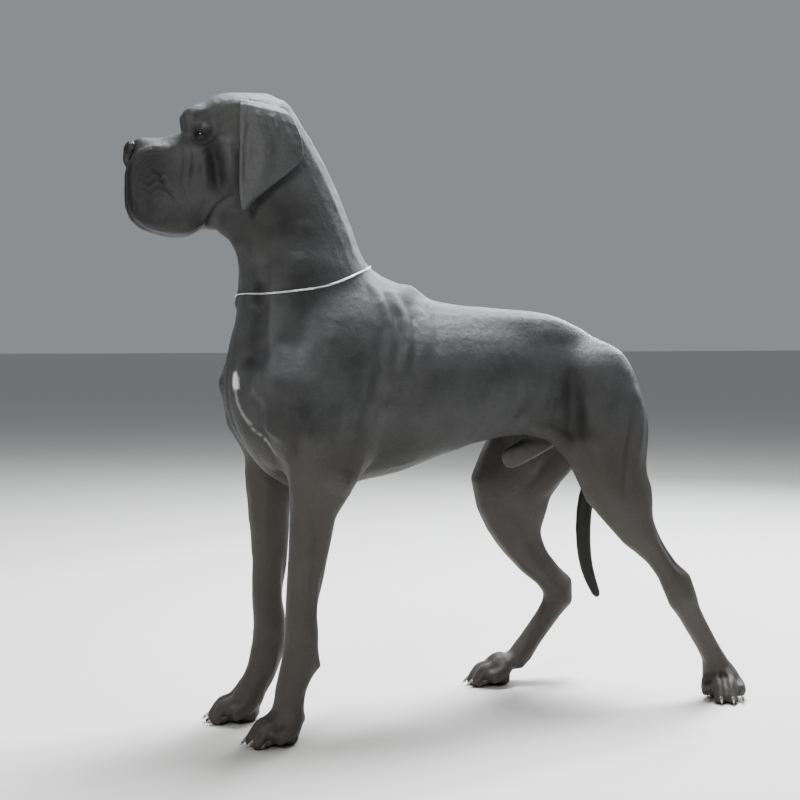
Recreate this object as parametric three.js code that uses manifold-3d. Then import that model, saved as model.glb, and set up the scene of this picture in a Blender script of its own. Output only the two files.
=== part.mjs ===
// A life-size standing great dane: a blue-grey adult male with natural hanging ears and a thin chain collar.
// Millimetres, +Z up. The dog looks towards -X, its left side is -Y, and its soles rest on Z = 0.
//
// The body is described as bones and muscles, each a run of oval sections or an egg shape, whose surfaces
// blend into one another. Closed nets of triangles are stretched round the centrelines of the trunk, neck,
// head, legs and paws until they lie on that surface. They are joined, and parted again by thin cuts.
import * as THREE from "three";
import { mergeVertices } from "three/addons/utils/BufferGeometryUtils.js";
import Module from "manifold-3d";

const wasm = await Module();
wasm.setup();

const GAP = 0.3; // between neighbouring nodes
const DEG = Math.PI / 180;
const LEFT = -1;
const RIGHT = 1;
const SIDES = [
  [LEFT, "left"],
  [RIGHT, "right"],
];

// Landmarks of the skeleton, from the withers down each leg.
const POINT_OF_SHOULDER = [-303, 106, 684];
const ELBOW = [-194, 112, 508];
const HIP = [452, 84, 690];
const HIND = {
  left: {
    knee: [440, 124, 452],
    hock: [588, 156, 232],
    heel: [601, 156, 262],
    toes: [690, 172, 0],
    turn: 62,
    calf: -6,
    shin: [6, -5],
    back: 34,
    ham: 8,
  },
  right: {
    knee: [288, 122, 450],
    hock: [472, 142, 190],
    heel: [514, 142, 206],
    toes: [305, 152, 0],
    turn: 4,
    calf: 24,
    shin: [28, 34],
    back: 62,
    ham: 46,
  },
};
const FORE = {
  left: { wrist: [-250, 98, 190], toes: [-298, 96, 0], turn: 6, lean: -9 },
  right: { wrist: [-243, 98, 180], toes: [-312, 96, 0], turn: 6, lean: -20 },
};
const STOP = [-449, 38, 1155]; // the notch between the eyes, and the origin of the head's own frame
const HEAD_TURN = 10 * DEG; // towards the dog's right
const EYE = { place: [42, 42.5, 3], radius: 12 };

// Distances to a surface, below zero inside it.
const vec = (p) => (p.isVector3 ? p : new THREE.Vector3(...p));

function oval(q, a, b, c) {
  const m = Math.hypot(q[0] / a, q[1] / b, q[2] / c);
  if (m < 1e-6) return -Math.min(a, b, c);
  return (m * (m - 1)) / Math.hypot(q[0] / (a * a), q[1] / (b * b), q[2] / (c * c));
}

// An egg-shaped mass: its centre, its half sizes, and its lean about Y and about Z in degrees.
function egg(centre, halfSizes, leanY = 0, leanZ = 0) {
  const turn = new THREE.Matrix4().makeRotationFromEuler(new THREE.Euler(0, leanY * DEG, leanZ * DEG, "ZYX"));
  const e = turn.transpose().elements;
  const [a, b, c] = halfSizes;
  return (x, y, z) => {
    const dx = x - centre[0];
    const dy = y - centre[1];
    const dz = z - centre[2];
    const q = [
      e[0] * dx + e[4] * dy + e[8] * dz,
      e[1] * dx + e[5] * dy + e[9] * dz,
      e[2] * dx + e[6] * dy + e[10] * dz,
    ];
    return oval(q, a, b, c);
  };
}

// A limb, muscle or tendon: oval sections along a smooth line. A station is [x, y, z, depth, width], where
// width is the half size along the side direction, and depth is the half size square to it and to the line.
function limb(stations, { side = [0, 1, 0], steps = 5 } = {}) {
  const points = stations.map((s) => new THREE.Vector3(s[0], s[1], s[2]));
  const curve = new THREE.CatmullRomCurve3(points, false, "centripetal");
  const count = (stations.length - 1) * steps;
  const knots = [];
  for (let i = 0; i <= count; i++) {
    const t = i / count;
    const f = t * (stations.length - 1);
    const k = Math.min(Math.floor(f), stations.length - 2);
    const u = f - k;
    const ease = u * u * (3 - 2 * u) * 0.5 + u * 0.5;
    const p = curve.getPoint(t);
    const mixed = (n) => stations[k][n] + (stations[k + 1][n] - stations[k][n]) * ease;
    knots.push([p.x, p.y, p.z, mixed(3), mixed(4)]);
  }
  const [sx, sy, sz] = side;
  const middles = knots.map((k) => new THREE.Vector3(k[0], k[1], k[2]));
  const ball = new THREE.Box3().setFromPoints(middles).getBoundingSphere(new THREE.Sphere());
  ball.radius += Math.max(...knots.map((k) => Math.max(k[3], k[4])));
  return (x, y, z) => {
    const off = Math.hypot(x - ball.center.x, y - ball.center.y, z - ball.center.z) - ball.radius;
    if (off > 70) return off;
    let best = 1e9;
    for (let i = 0; i < count; i++) {
      const a = knots[i];
      const b = knots[i + 1];
      const ex = b[0] - a[0];
      const ey = b[1] - a[1];
      const ez = b[2] - a[2];
      const dx = x - a[0];
      const dy = y - a[1];
      const dz = z - a[2];
      const t = Math.min(1, Math.max(0, (dx * ex + dy * ey + dz * ez) / (ex * ex + ey * ey + ez * ez)));
      const qx = dx - ex * t;
      const qy = dy - ey * t;
      const qz = dz - ez * t;
      const depth = a[3] + (b[3] - a[3]) * t;
      const width = a[4] + (b[4] - a[4]) * t;
      const across = qx * sx + qy * sy + qz * sz;
      const rest = Math.sqrt(Math.max(0, qx * qx + qy * qy + qz * qz - across * across));
      const m = Math.hypot(across / width, rest / depth);
      const slope = Math.hypot(across / (width * width), rest / (depth * depth));
      const d = m < 1e-6 ? -Math.min(depth, width) : (m * (m - 1)) / slope;
      if (d < best) best = d;
    }
    return best;
  };
}

// A block with rounded corners, its corners in the XZ view rounder than its edges across Y.
function block(centre, halfSizes, corner, edge) {
  return (x, y, z) => {
    const qx = Math.abs(x - centre[0]) - halfSizes[0] + corner;
    const qz = Math.abs(z - centre[2]) - halfSizes[2] + corner;
    const flat = Math.hypot(Math.max(qx, 0), Math.max(qz, 0)) + Math.min(Math.max(qx, qz), 0) - corner + edge;
    const deep = Math.abs(y - centre[1]) - halfSizes[1] + edge;
    return Math.hypot(Math.max(flat, 0), Math.max(deep, 0)) + Math.min(Math.max(flat, deep), 0) - edge;
  };
}

// Joins masses one after another: each entry is [mass, softness of its join with those before it].
function blended(entries) {
  return (x, y, z) => {
    let d = 1e9;
    for (const [mass, soft] of entries) {
      const e = mass(x, y, z);
      const h = Math.max(soft - Math.abs(d - e), 0);
      d = Math.min(d, e) - (h * h) / (4 * soft);
    }
    return d;
  };
}

// Hollows a mass: the tool bites into it with a soft rim.
const hollowed = (mass, tool, soft) => (x, y, z) => {
  const a = mass(x, y, z);
  const b = -tool(x, y, z);
  const h = Math.max(soft - Math.abs(a - b), 0);
  return Math.max(a, b) + (h * h) / (4 * soft);
};

const paired = (mass) => (x, y, z) => mass(x, Math.abs(y), z);
const onSide = (mass, s) => (x, y, z) => mass(x, y * s, z);
const grown = (mass, by) => (x, y, z) => mass(x, y, z) - by;
const within = (mass, limit) => (x, y, z) => Math.max(mass(x, y, z), limit(x, y, z));

// The trunk: rib cage and belly, keel of the breast, shoulders, loin muscles and croup.
const ribCage = limb(
  [
    [-254, 0, 692, 88, 70],
    [-212, 0, 672, 148, 104],
    [-150, 0, 666, 184, 124],
    [-60, 0, 680, 187, 134],
    [40, 0, 686, 161, 136],
    [140, 0, 694, 141, 124],
    [240, 0, 697, 129, 106],
    [330, 0, 692, 123, 96],
    [400, 0, 686, 105, 90],
    [452, 0, 680, 74, 72],
    [486, 0, 673, 47, 50],
  ],
  { steps: 4 },
);
const keel = limb([
  [-304, 0, 738, 38, 40],
  [-306, 0, 664, 42, 35],
  [-286, 0, 592, 42, 34],
  [-239, 0, 528, 44, 38],
  [-150, 0, 516, 40, 50],
]);
const shoulderBlade = limb([
  [0, 26, 852, 34, 20],
  [-70, 62, 800, 58, 28],
  [-160, 92, 745, 66, 30],
  [-250, 100, 700, 58, 34],
  [...POINT_OF_SHOULDER, 44, 36],
]);
const neckToShoulder = limb([
  [-256, 54, 900, 24, 24],
  [-290, 80, 808, 34, 26],
  [-310, 98, 738, 36, 30],
]);
const upperArm = limb([
  [...POINT_OF_SHOULDER, 42, 36],
  [-266, 113, 602, 62, 38],
  [...ELBOW, 46, 34],
]);
const triceps = egg([-170, 104, 608], [66, 38, 112], -14);
const pectoral = egg([-262, 55, 606], [46, 40, 90], 8);
const loin = limb([
  [-40, 26, 830, 28, 26],
  [80, 30, 806, 32, 30],
  [200, 32, 799, 32, 32],
  [320, 34, 792, 32, 36],
  [398, 36, 763, 28, 34],
]);
const withers = limb([
  [-110, 0, 858, 46, 26],
  [-40, 0, 862, 34, 22],
  [2, 0, 856, 25, 18],
  [56, 0, 812, 22, 20],
]);
const rump = egg([424, 62, 686], [76, 50, 74], 24);
const SHEATH_LINE = [
  [372, 0, 566],
  [306, 0, 538],
  [264, 0, 522],
];
const sheath = limb([
  [...SHEATH_LINE[0], 20, 18],
  [...SHEATH_LINE[1], 25, 18],
  [...SHEATH_LINE[2], 27, 18],
]);
const SCROTUM = [430, 0, 508];
const scrotum = egg(SCROTUM, [31, 24, 40], -10);

// The neck: one deep mass with an arched crest and the two throat muscles.
const neckCore = limb(
  [
    [-196, 0, 770, 138, 104],
    [-200, 0, 850, 130, 92],
    [-212, 1, 920, 125, 78],
    [-228, 3, 985, 118, 68],
    [-246, 6, 1045, 111, 62],
    [-276, 10, 1116, 102, 58],
  ],
  { steps: 4 },
);
const throatMuscle = limb([
  [-312, 30, 745, 24, 22],
  [-292, 38, 830, 26, 24],
  [-284, 42, 920, 24, 22],
  [-288, 44, 1000, 22, 20],
]);
const windpipe = limb([
  [-310, 0, 800, 26, 24],
  [-294, 1, 870, 22, 20],
  [-314, 3, 938, 22, 20],
  [-346, 8, 985, 24, 28],
  [-384, 14, 1020, 26, 30],
]);

// The head, in its own frame: X back from the stop, Y to its right, Z up from the stop.
const cheekbone = limb([
  [30, 42, -24, 13, 9],
  [62, 55, -22, 14, 10],
  [104, 61, -12, 15, 10],
  [140, 55, 4, 15, 12],
]);
const earBase = limb([
  [118, 38, 58, 16, 14],
  [146, 42, 56, 18, 15],
  [178, 40, 46, 16, 14],
]);
const skull = blended([
  [block([112, 0, 16], [84, 48, 62], 60, 40), 10],
  [egg([120, 0, 42], [84, 56, 51]), 18],
  [egg([177, 0, 42], [50, 44, 49]), 20],
  [paired(egg([29, 25, 38], [26, 20, 22], -30)), 18],
  [paired(cheekbone), 16],
  [paired(egg([84, 48, -62], [44, 18, 60], 14)), 26],
  [egg([64, 0, -78], [62, 42, 70]), 30],
  [egg([24, 0, -14], [44, 38, 26]), 18],
  [paired(earBase), 14],
]);
const muzzle = blended([
  [block([-34, 0, -41], [52, 28, 39], 16, 14), 8],
  [paired(block([-28, 27, -98], [69, 19, 82], 60, 12)), 14],
  [paired(block([2, 27, -122], [44, 19, 65], 34, 12)), 12],
  [block([-24, 0, -96], [60, 24, 58], 30, 14), 8],
  [limb([[44, 0, -144, 26, 30], [-30, 0, -154, 24, 26], [-68, 0, -144, 14, 17]]), 7],
]);
const socket = paired(egg([33, 57, -2], [17, 10, 11]));
const headShape = hollowed(blended([[skull, 10], [muzzle, 26]]), socket, 16);
const LID_THICK = 2.4;
const noseShape = blended([
  [block([-83, 0, -28], [16, 23, 18], 12, 10), 4],
  [paired(egg([-86, 15, -26], [13, 13, 16])), 6],
  [egg([-94, 0, -44], [7, 8, 16]), 8],
]);

const cosTurn = Math.cos(HEAD_TURN);
const sinTurn = Math.sin(HEAD_TURN);
const inHead = (mass) => (x, y, z) => {
  const dx = x - STOP[0];
  const dy = y - STOP[1];
  return mass(dx * cosTurn - dy * sinTurn, dx * sinTurn + dy * cosTurn, z - STOP[2]);
};
const headMatrix = new THREE.Matrix4().makeRotationZ(-HEAD_TURN).setPosition(...STOP);
const fromHead = (p) => vec(p).clone().applyMatrix4(headMatrix);

// A foreleg, drawn for the dog's right side and mirrored for its left.
function foreleg({ wrist, toes, lean }) {
  const [wx, wy, wz] = wrist;
  const arm = limb(
    [
      [ELBOW[0] - 24 + lean, ELBOW[1], ELBOW[2] - 8, 54, 36],
      [-221 + lean, 108, 430, 45, 34],
      [wx + 13 + lean / 2, wy + 6, 330, 37, 29],
      [wx + 6 + lean / 2, wy + 1, 250, 33, 27],
      [wx, wy, wz, 33, 31],
      [wx - 6, wy, wz - 42, 34, 31],
      [wx - 21, wy - 1, wz - 88, 29, 31],
      [toes[0] + 22, toes[1], 54, 26, 33],
    ],
    { steps: 5 },
  );
  const elbowTip = egg([ELBOW[0] + 14, ELBOW[1] + 2, ELBOW[2] - 10], [20, 19, 34], -12);
  const wristPad = egg([wx + 31, wy + 6, wz - 36], [10, 11, 16], -18);
  const dewClaw = egg([wx - 4, wy - 32, wz - 66], [10, 8, 16], 18);
  return blended([
    [arm, 10],
    [elbowTip, 26],
    [wristPad, 16],
    [dewClaw, 8],
  ]);
}

// A hind leg: thigh, stifle, second thigh, the sinew to the heel, hock and long foot.
function hindleg({ knee, hock, toes, heel, turn, calf: bulge, shin, back, ham }) {
  const [kx, ky, kz] = knee;
  const [hx, hy, hz] = hock;
  const mid = (a, b, t) => a + (b - a) * t;
  const footX = toes[0] + Math.cos(turn * DEG) * back;
  const footY = toes[1] - Math.sin(turn * DEG) * back;
  const thigh = limb([
    [HIP[0] - 13, HIP[1] - 10, HIP[2] - 10, 77, 55],
    [mid(HIP[0], kx, 0.45), 98, mid(HIP[2], kz, 0.45), 92, 46],
    [mid(HIP[0], kx, 0.8), 114, mid(HIP[2], kz, 0.8), 76, 36],
    [kx, ky, kz, 50, 33],
  ]);
  const buttock = limb([
    [500, 56, 658, 37, 34],
    [mid(503, kx, 0.06), 76, 596, 42, 36],
    [mid(492, kx, 0.2) + ham / 4, 100, 510, 40, 30],
    [mid(kx, hx, 0.28) + ham, 122, mid(kz, hz, 0.12), 36, 26],
  ]);
  const shank = limb(
    [
      [kx, ky, kz, 50, 33],
      [mid(kx, hx, 0.3) - shin[0], mid(ky, hy, 0.3), mid(kz, hz, 0.3), 44, 32],
      [mid(kx, hx, 0.62) - shin[1], mid(ky, hy, 0.62), mid(kz, hz, 0.62), 24 + shin[0] / 4, 23],
      [mid(kx, hx, 0.88) - shin[1] / 4, mid(ky, hy, 0.88), mid(kz, hz, 0.88), 21, 20],
      [hx, hy, hz, 28, 24],
    ],
    { steps: 5 },
  );
  const calf = limb([
    [mid(kx, hx, 0.12) + 40, mid(ky, hy, 0.1), mid(kz, hz, 0.02), 34, 26],
    [mid(kx, hx, 0.36) + bulge, mid(ky, hy, 0.36), mid(kz, hz, 0.3), 28, 24],
    [mid(kx, hx, 0.62) + bulge * 0.6, mid(ky, hy, 0.6), mid(kz, hz, 0.58), 11, 12],
    [mid(kx, heel[0], 0.88) - 3, heel[1], mid(kz, heel[2], 0.9), 10, 10],
    [heel[0], heel[1], heel[2], 13, 13],
  ]);
  const cannon = limb(
    [
      [hx, hy, hz, 29, 25],
      [mid(hx, footX, 0.3), mid(hy, footY, 0.3), mid(hz, 54, 0.32), 24, 25],
      [mid(hx, footX, 0.68), mid(hy, footY, 0.68), mid(hz, 54, 0.68), 22, 25],
      [footX, footY, 54, 24, 29],
    ],
    { steps: 5 },
  );
  const heelBone = limb([
    [hx, hy, hz, 24, 20],
    [heel[0] - 2, heel[1], heel[2] - 6, 16, 15],
  ]);
  return blended([
    [thigh, 10],
    [buttock, 30],
    [shank, 30],
    [calf, 22],
    [cannon, 20],
    [heelBone, 14],
  ]);
}

// The fold of skin that spans from the belly to the stifle of the left leg, which is stretched back.
const FLANK_FOLD = [
  [276, -56, 591, 18, 13],
  [298, -64, 589, 22, 13],
  [321, -74, 583, 26, 12],
  [355, -84, 551, 26, 12],
  [377, -92, 525, 26, 13],
  [390, -98, 493, 26, 14],
  [416, -106, 446, 26, 18],
];
const flankFold = limb(FLANK_FOLD);

// A paw, toes towards -X before it is turned: four arched toes, a heel pad and toe pads, cut flat underneath.
const TOES = [
  { side: -35, set: 18, high: 34 },
  { side: -12.4, set: 0, high: 40 },
  { side: 12.4, set: 0, high: 40 },
  { side: 35, set: 18, high: 34 },
];
const TOE_REACH = 44; // from the paw's middle to the middle toes' pads
function paw(scale) {
  const toes = TOES.map(({ side, set, high }) =>
    limb([
      [26, side * 0.62, 46, 17, 12],
      [-6 + set, side * 0.9, high, 16, 12],
      [-26 + set, side, high - 7, 15.5, 12.2],
      [-TOE_REACH + set, side * 1.03, 13, 13, 11.4],
    ]),
  );
  const pads = TOES.map(({ side, set }) => egg([-TOE_REACH + 4 + set, side * 1.03, 6], [15, 11, 8]));
  const shape = blended([
    [egg([18, 0, 44], [28, 33, 27], 16), 8],
    [egg([16, 0, 12], [26, 30, 15]), 12],
    [egg([-8, 0, 22], [36, 29, 15]), 12],
    ...toes.map((t) => [t, 2.5]),
    ...pads.map((p) => [p, 5]),
  ]);
  return (x, y, z) => Math.max(shape(x / scale, y / scale, z / scale) * scale, -z);
}

const PAW_SCALE = { fore: 1.04, hind: 0.99 };
const LEG_JOIN = { fore: 24, hind: 34 }; // softness of the join with the trunk
const legs = [];
for (const [s, name] of SIDES) {
  const spread = (toes, turn) => ({ x: toes[0], y: toes[1] * s, turn: s * turn * DEG });
  legs.push({
    name: "foreleg_" + name,
    pawName: "forepaw_" + name,
    shape: onSide(foreleg(FORE[name]), s),
    scale: PAW_SCALE.fore,
    join: LEG_JOIN.fore,
    joint: FORE[name],
    side: s,
    fore: true,
    ...spread(FORE[name].toes, FORE[name].turn),
  });
  legs.push({
    name: "hindleg_" + name,
    pawName: "hindpaw_" + name,
    shape: onSide(hindleg(HIND[name]), s),
    scale: PAW_SCALE.hind,
    join: LEG_JOIN.hind,
    joint: HIND[name],
    side: s,
    fore: false,
    ...spread(HIND[name].toes, HIND[name].turn),
  });
}
for (const leg of legs) {
  // The toes point along (-cos, sin) of the turn, so a positive turn is towards +Y.
  leg.matrix = new THREE.Matrix4().makeRotationZ(-leg.turn).setPosition(leg.x, leg.y, 0);
  const c = Math.cos(leg.turn);
  const n = Math.sin(leg.turn);
  const own = paw(leg.scale);
  leg.paw = (x, y, z) => {
    const dx = x - leg.x;
    const dy = y - leg.y;
    return own(dx * c - dy * n, dx * n + dy * c, z);
  };
}

const trunk = blended([
  [ribCage, 10],
  [keel, 36],
  [paired(loin), 30],
  [withers, 34],
  [paired(shoulderBlade), 22],
  [paired(neckToShoulder), 20],
  [paired(upperArm), 26],
  [paired(triceps), 18],
  [paired(pectoral), 20],
  [paired(rump), 30],
]);
const neck = blended([
  [neckCore, 10],
  [paired(throatMuscle), 18],
  [windpipe, 14],
]);
const head = inHead(headShape);
const torsoAndNeck = blended([
  [trunk, 10],
  [neck, 60],
]);
const aboveFloor = (mass) => (x, y, z) => Math.max(mass(x, y, z), -z);
const body = aboveFloor(
  blended([
    [torsoAndNeck, 10],
    [sheath, 14],
    [scrotum, 14],
    [head, 30],
    ...legs.map((leg) => [leg.shape, leg.join]),
    [flankFold, 22],
    ...legs.map((leg) => [leg.paw, 14]),
  ]),
);

// A closed net round a centreline. Rings of rays run from the line out to the surface, and fans of rays
// close both ends. The line's stations are points, and tall above 1 bunches the rays up and down.
function net(shape, line, { rings, sides, caps = [4, 4], up = [0, 0, 1], reach = 420, lift = 0, tall = 1 }) {
  const curve = new THREE.CatmullRomCurve3(line.map(vec), false, "centripetal");
  const positions = [];
  const index = [];
  const upward = vec(up);
  const away = (from, dir) => {
    let low = 0;
    let high = 0;
    const at = (r) => shape(from.x + dir.x * r, from.y + dir.y * r, from.z + dir.z * r) - lift;
    for (let i = 0; i < 200 && high < reach; i++) {
      const d = at(high);
      if (d > 0) break;
      low = high;
      high += Math.max(0.7, -d * 0.7);
    }
    for (let i = 0; i < 12; i++) {
      const middle = (low + high) / 2;
      if (at(middle) > 0) high = middle;
      else low = middle;
    }
    positions.push(from.x + dir.x * low, from.y + dir.y * low, from.z + dir.z * low);
  };
  const ring = (t, fan) => {
    const from = curve.getPoint(t);
    const along = curve.getTangent(t);
    const first = upward.clone().addScaledVector(along, -upward.dot(along)).normalize();
    const second = new THREE.Vector3().crossVectors(along, first);
    for (let j = 0; j < sides; j++) {
      const a = (j / sides) * 2 * Math.PI;
      const dir = first.clone().multiplyScalar(Math.cos(a) * tall);
      dir.addScaledVector(second, Math.sin(a)).normalize();
      dir.multiplyScalar(Math.cos(fan)).addScaledVector(along, Math.sin(fan));
      away(from, dir.normalize());
    }
  };
  const pole = (t, sign) => away(curve.getPoint(t), curve.getTangent(t).multiplyScalar(sign));
  const [startCap, endCap] = caps;
  pole(0, -1);
  for (let i = startCap - 1; i >= 1; i--) ring(0, (-i / startCap) * (Math.PI / 2));
  for (let i = 0; i <= rings; i++) ring(i / rings, 0);
  for (let i = 1; i < endCap; i++) ring(1, (i / endCap) * (Math.PI / 2));
  pole(1, 1);
  const rows = startCap + endCap - 1 + rings;
  const last = 1 + rows * sides;
  for (let j = 0; j < sides; j++) {
    const k = (j + 1) % sides;
    index.push(0, 1 + k, 1 + j);
    for (let i = 0; i < rows - 1; i++) {
      const a = 1 + i * sides + j;
      const b = 1 + i * sides + k;
      index.push(a, b, a + sides, b, b + sides, a + sides);
    }
    index.push(last, last - sides + j, last - sides + k);
  }
  return solid(positions, index);
}

function solid(positions, index) {
  const make = (triVerts) =>
    new wasm.Manifold(new wasm.Mesh({ numProp: 3, vertProperties: new Float32Array(positions), triVerts }));
  const made = make(new Uint32Array(index));
  if (made.volume() > 0) return made;
  for (let i = 0; i < index.length; i += 3) [index[i + 1], index[i + 2]] = [index[i + 2], index[i + 1]];
  return make(new Uint32Array(index));
}

function solidOf(geometry, matrix = new THREE.Matrix4()) {
  const bare = new THREE.BufferGeometry().setAttribute("position", geometry.getAttribute("position").clone());
  if (geometry.index) bare.setIndex(geometry.index.clone());
  bare.applyMatrix4(matrix);
  const merged = mergeVertices(bare, 1e-4);
  return solid([...merged.attributes.position.array], [...merged.index.array]);
}

const joined = (solids) => solids.reduce((a, b) => a.add(b));
const largest = (made) => made.decompose().reduce((a, b) => (b.volume() > a.volume() ? b : a));

// The centrelines the nets are stretched round.
const TRUNK_LINE = [
  [-250, 0, 680],
  [-60, 0, 690],
  [150, 0, 700],
  [330, 0, 705],
  [462, 0, 700],
];
const NECK_LINE = [
  [-196, 0, 790],
  [-206, 0, 870],
  [-224, 2, 960],
  [-268, 8, 1070],
];
const HEAD_LINE = [
  [-56, 0, -80],
  [-10, 0, -63],
  [44, 0, -38],
  [96, 0, -10],
  [130, 0, 2],
];
function legLine({ side, fore, joint }) {
  const { wrist, knee, hock, toes } = joint;
  const line = fore
    ? [
        [-215, 104, 560],
        [-214, 108, 450],
        [wrist[0] + 5, wrist[1], 300],
        wrist,
        [wrist[0] - 26, wrist[1], wrist[2] - 80],
        [toes[0] + 22, toes[1], 50],
      ]
    : [
        [HIP[0] - 4, 92, 640],
        [(HIP[0] + knee[0]) / 2 + 6, 104, 560],
        [knee[0] + 14, knee[1], knee[2] - 6],
        [(knee[0] + hock[0]) / 2 + 6, (knee[1] + hock[1]) / 2, (knee[2] + hock[2]) / 2],
        [hock[0] + 4, hock[1], hock[2]],
        [(hock[0] + toes[0]) / 2 + 14, (hock[1] + toes[1]) / 2, hock[2] * 0.55],
        [toes[0] + 26, toes[1], 54],
      ];
  return line.map(([x, y, z]) => [x, y * side, z]);
}
const PAW_LINE = [
  [30, 0, 26],
  [0, 0, 26],
  [-28, 0, 18],
];

// The nets that together cover the whole body, lifted off its surface by the given distance.
function wholeBody(lift) {
  const trunkNet = { rings: 20, sides: 30, caps: [6, 4], tall: 1.2, lift };
  const neckNet = { rings: 11, sides: 26, caps: [3, 3], up: [1, 0, 0], lift };
  const headNet = { rings: 17, sides: 36, caps: [7, 4], tall: 1.5, lift };
  const scrotumLine = [-8, 8].map((rise) => [SCROTUM[0], 0, SCROTUM[2] - rise]);
  const parts = [
    net(within(body, grown(trunk, 30)), TRUNK_LINE, trunkNet),
    net(within(body, grown(neck, 30)), NECK_LINE, neckNet),
    net(within(body, grown(head, 18)), HEAD_LINE.map(fromHead), headNet),
    net(within(body, grown(flankFold, 9)), FLANK_FOLD.map(([x, y, z]) => [x, y, z]), {
      rings: 8,
      sides: 8,
      caps: [2, 2],
      up: [0, -1, 0],
      reach: 60,
      lift,
    }),
    net(within(body, grown(sheath, 6)), SHEATH_LINE, { rings: 6, sides: 12, caps: [2, 4], lift }),
    net(within(body, grown(scrotum, 5)), scrotumLine, {
      rings: 2,
      sides: 12,
      caps: [4, 4],
      up: [1, 0, 0],
      lift,
    }),
  ];
  for (const leg of legs) {
    const legNet = { rings: leg.fore ? 18 : 22, sides: 14, caps: [4, 3], up: [0, leg.side, 0] };
    parts.push(net(within(body, grown(leg.shape, 18)), legLine(leg), { ...legNet, reach: 200, lift }));
    const pawLine = PAW_LINE.map((p) => vec(p).clone().applyMatrix4(leg.matrix));
    const pawNet = { rings: 5, sides: 24, caps: [2, 6], reach: 120, lift };
    parts.push(net(within(body, grown(leg.paw, 3)), pawLine, pawNet));
  }
  for (const [s] of SIDES) parts.push(eyeball(s, LID_THICK + lift));
  return joined(parts);
}

const flesh = wholeBody(0).simplify(0.7);
const fleshAndGap = wholeBody(GAP).add(flesh);

// Thin cuts part the nodes. Each is a slab: its middle, the direction it faces, and its two lengths.
function slab(middle, facing, along, lengths) {
  const z = vec(facing).normalize();
  const x = vec(along).addScaledVector(z, -vec(along).dot(z)).normalize();
  const y = new THREE.Vector3().crossVectors(z, x);
  const matrix = new THREE.Matrix4().makeBasis(x, y, z).setPosition(...middle);
  return solidOf(new THREE.BoxGeometry(lengths[0], lengths[1], GAP), matrix);
}
const cuts = [
  slab([-292, 6, 1060], [-0.617, 0, 0.787], [0, 1, 0], [260, 330]),
  slab([-196, 0, 852], [-0.4, 0, 0.917], [0, 1, 0], [330, 420]),
];
for (const leg of legs) {
  const s = leg.side;
  if (leg.fore) {
    cuts.push(slab([-225, 112 * s, 552], [0, 0.78 * s, -0.62], [1, 0, 0], [300, 236]));
    const [wx, wy, wz] = leg.joint.wrist;
    cuts.push(slab([wx - 2, wy * s, wz - 30], [0.2, 0, 1], [1, 0, 0], [140, 110]));
  } else {
    const from = s === LEFT ? 250 : 215;
    const to = 600;
    cuts.push(slab([(from + to) / 2, 88 * s, 606], [0, 0.86 * s, -0.51], [1, 0, 0], [to - from, 270]));
    const { hock, toes } = leg.joint;
    const foot = [0, 1].map((k) => hock[k] * 0.45 + toes[k] * 0.55);
    cuts.push(slab([foot[0], foot[1] * s, hock[2] * 0.48], [0, 0, 1], [1, 0, 0], [190, 170]));
  }
}
const pieces = flesh.subtract(joined(cuts)).decompose();

const PLACES = {
  head: [-400, 30, 1150],
  neck: [-230, 0, 960],
  torso: [80, 0, 690],
};
for (const leg of legs) {
  const { knee, hock } = leg.joint;
  PLACES[leg.name] = [leg.fore ? -225 : (knee[0] + hock[0]) / 2, (leg.fore ? 105 : 135) * leg.side, 370];
  PLACES[leg.pawName] = [leg.x, leg.y, 60];
}
const found = {};
for (const piece of pieces) {
  const box = piece.boundingBox();
  const centre = new THREE.Vector3(
    (box.min[0] + box.max[0]) / 2,
    (box.min[1] + box.max[1]) / 2,
    (box.min[2] + box.max[2]) / 2,
  );
  const [name] = Object.entries(PLACES).sort(
    (a, b) => vec(a[1]).distanceTo(centre) - vec(b[1]).distanceTo(centre),
  )[0];
  if (!found[name] || piece.volume() > found[name].volume()) found[name] = piece;
}

// The eyeballs, and the slit between the lids of each.
function eyeball(s, more) {
  const at = fromHead([EYE.place[0], EYE.place[1] * s, EYE.place[2]]);
  return solidOf(new THREE.SphereGeometry(EYE.radius + more, 14, 9), new THREE.Matrix4().setPosition(at));
}
function lidSlit(s) {
  const almond = new THREE.Shape();
  almond.moveTo(-13, -2);
  almond.quadraticCurveTo(-2, 9.5, 12, 2);
  almond.quadraticCurveTo(3, -9.5, -13, -2);
  const prism = new THREE.ExtrudeGeometry(almond, { depth: 30, bevelEnabled: false, curveSegments: 6 });
  const outward = new THREE.Vector3(-0.55, 0.83 * s, 0.05).normalize();
  const rear = new THREE.Vector3(0.83, 0.55 * s, 0).normalize();
  const upward = new THREE.Vector3().crossVectors(outward, rear).multiplyScalar(s);
  if (upward.z < 0) upward.negate();
  const matrix = new THREE.Matrix4().makeBasis(rear.multiplyScalar(s), upward, outward);
  matrix.setPosition(EYE.place[0], EYE.place[1] * s, EYE.place[2]);
  return solidOf(prism, headMatrix.clone().multiply(matrix));
}

// The nose leather, with a nostril hollowed out of each side.
function noseSolid(lift) {
  const line = [[-72, 0, -26], [-84, 0, -26]].map(fromHead);
  return net(inHead(noseShape), line, { rings: 2, sides: 16, caps: [2, 5], lift });
}
function nostril(s) {
  const comma = limb([
    [-102, 10, -24, 6, 5.5],
    [-92, 13, -24, 5, 5],
    [-87, 21, -27, 3.6, 3],
    [-82, 28, -31, 3, 2.2],
  ]);
  const line = [
    [-100, 10.5 * s, -24],
    [-92, 13 * s, -24],
    [-87, 21 * s, -27],
    [-83, 27 * s, -30],
  ];
  return net(inHead(onSide(comma, s)), line.map(fromHead), { rings: 4, sides: 6, caps: [2, 2] });
}

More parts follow.
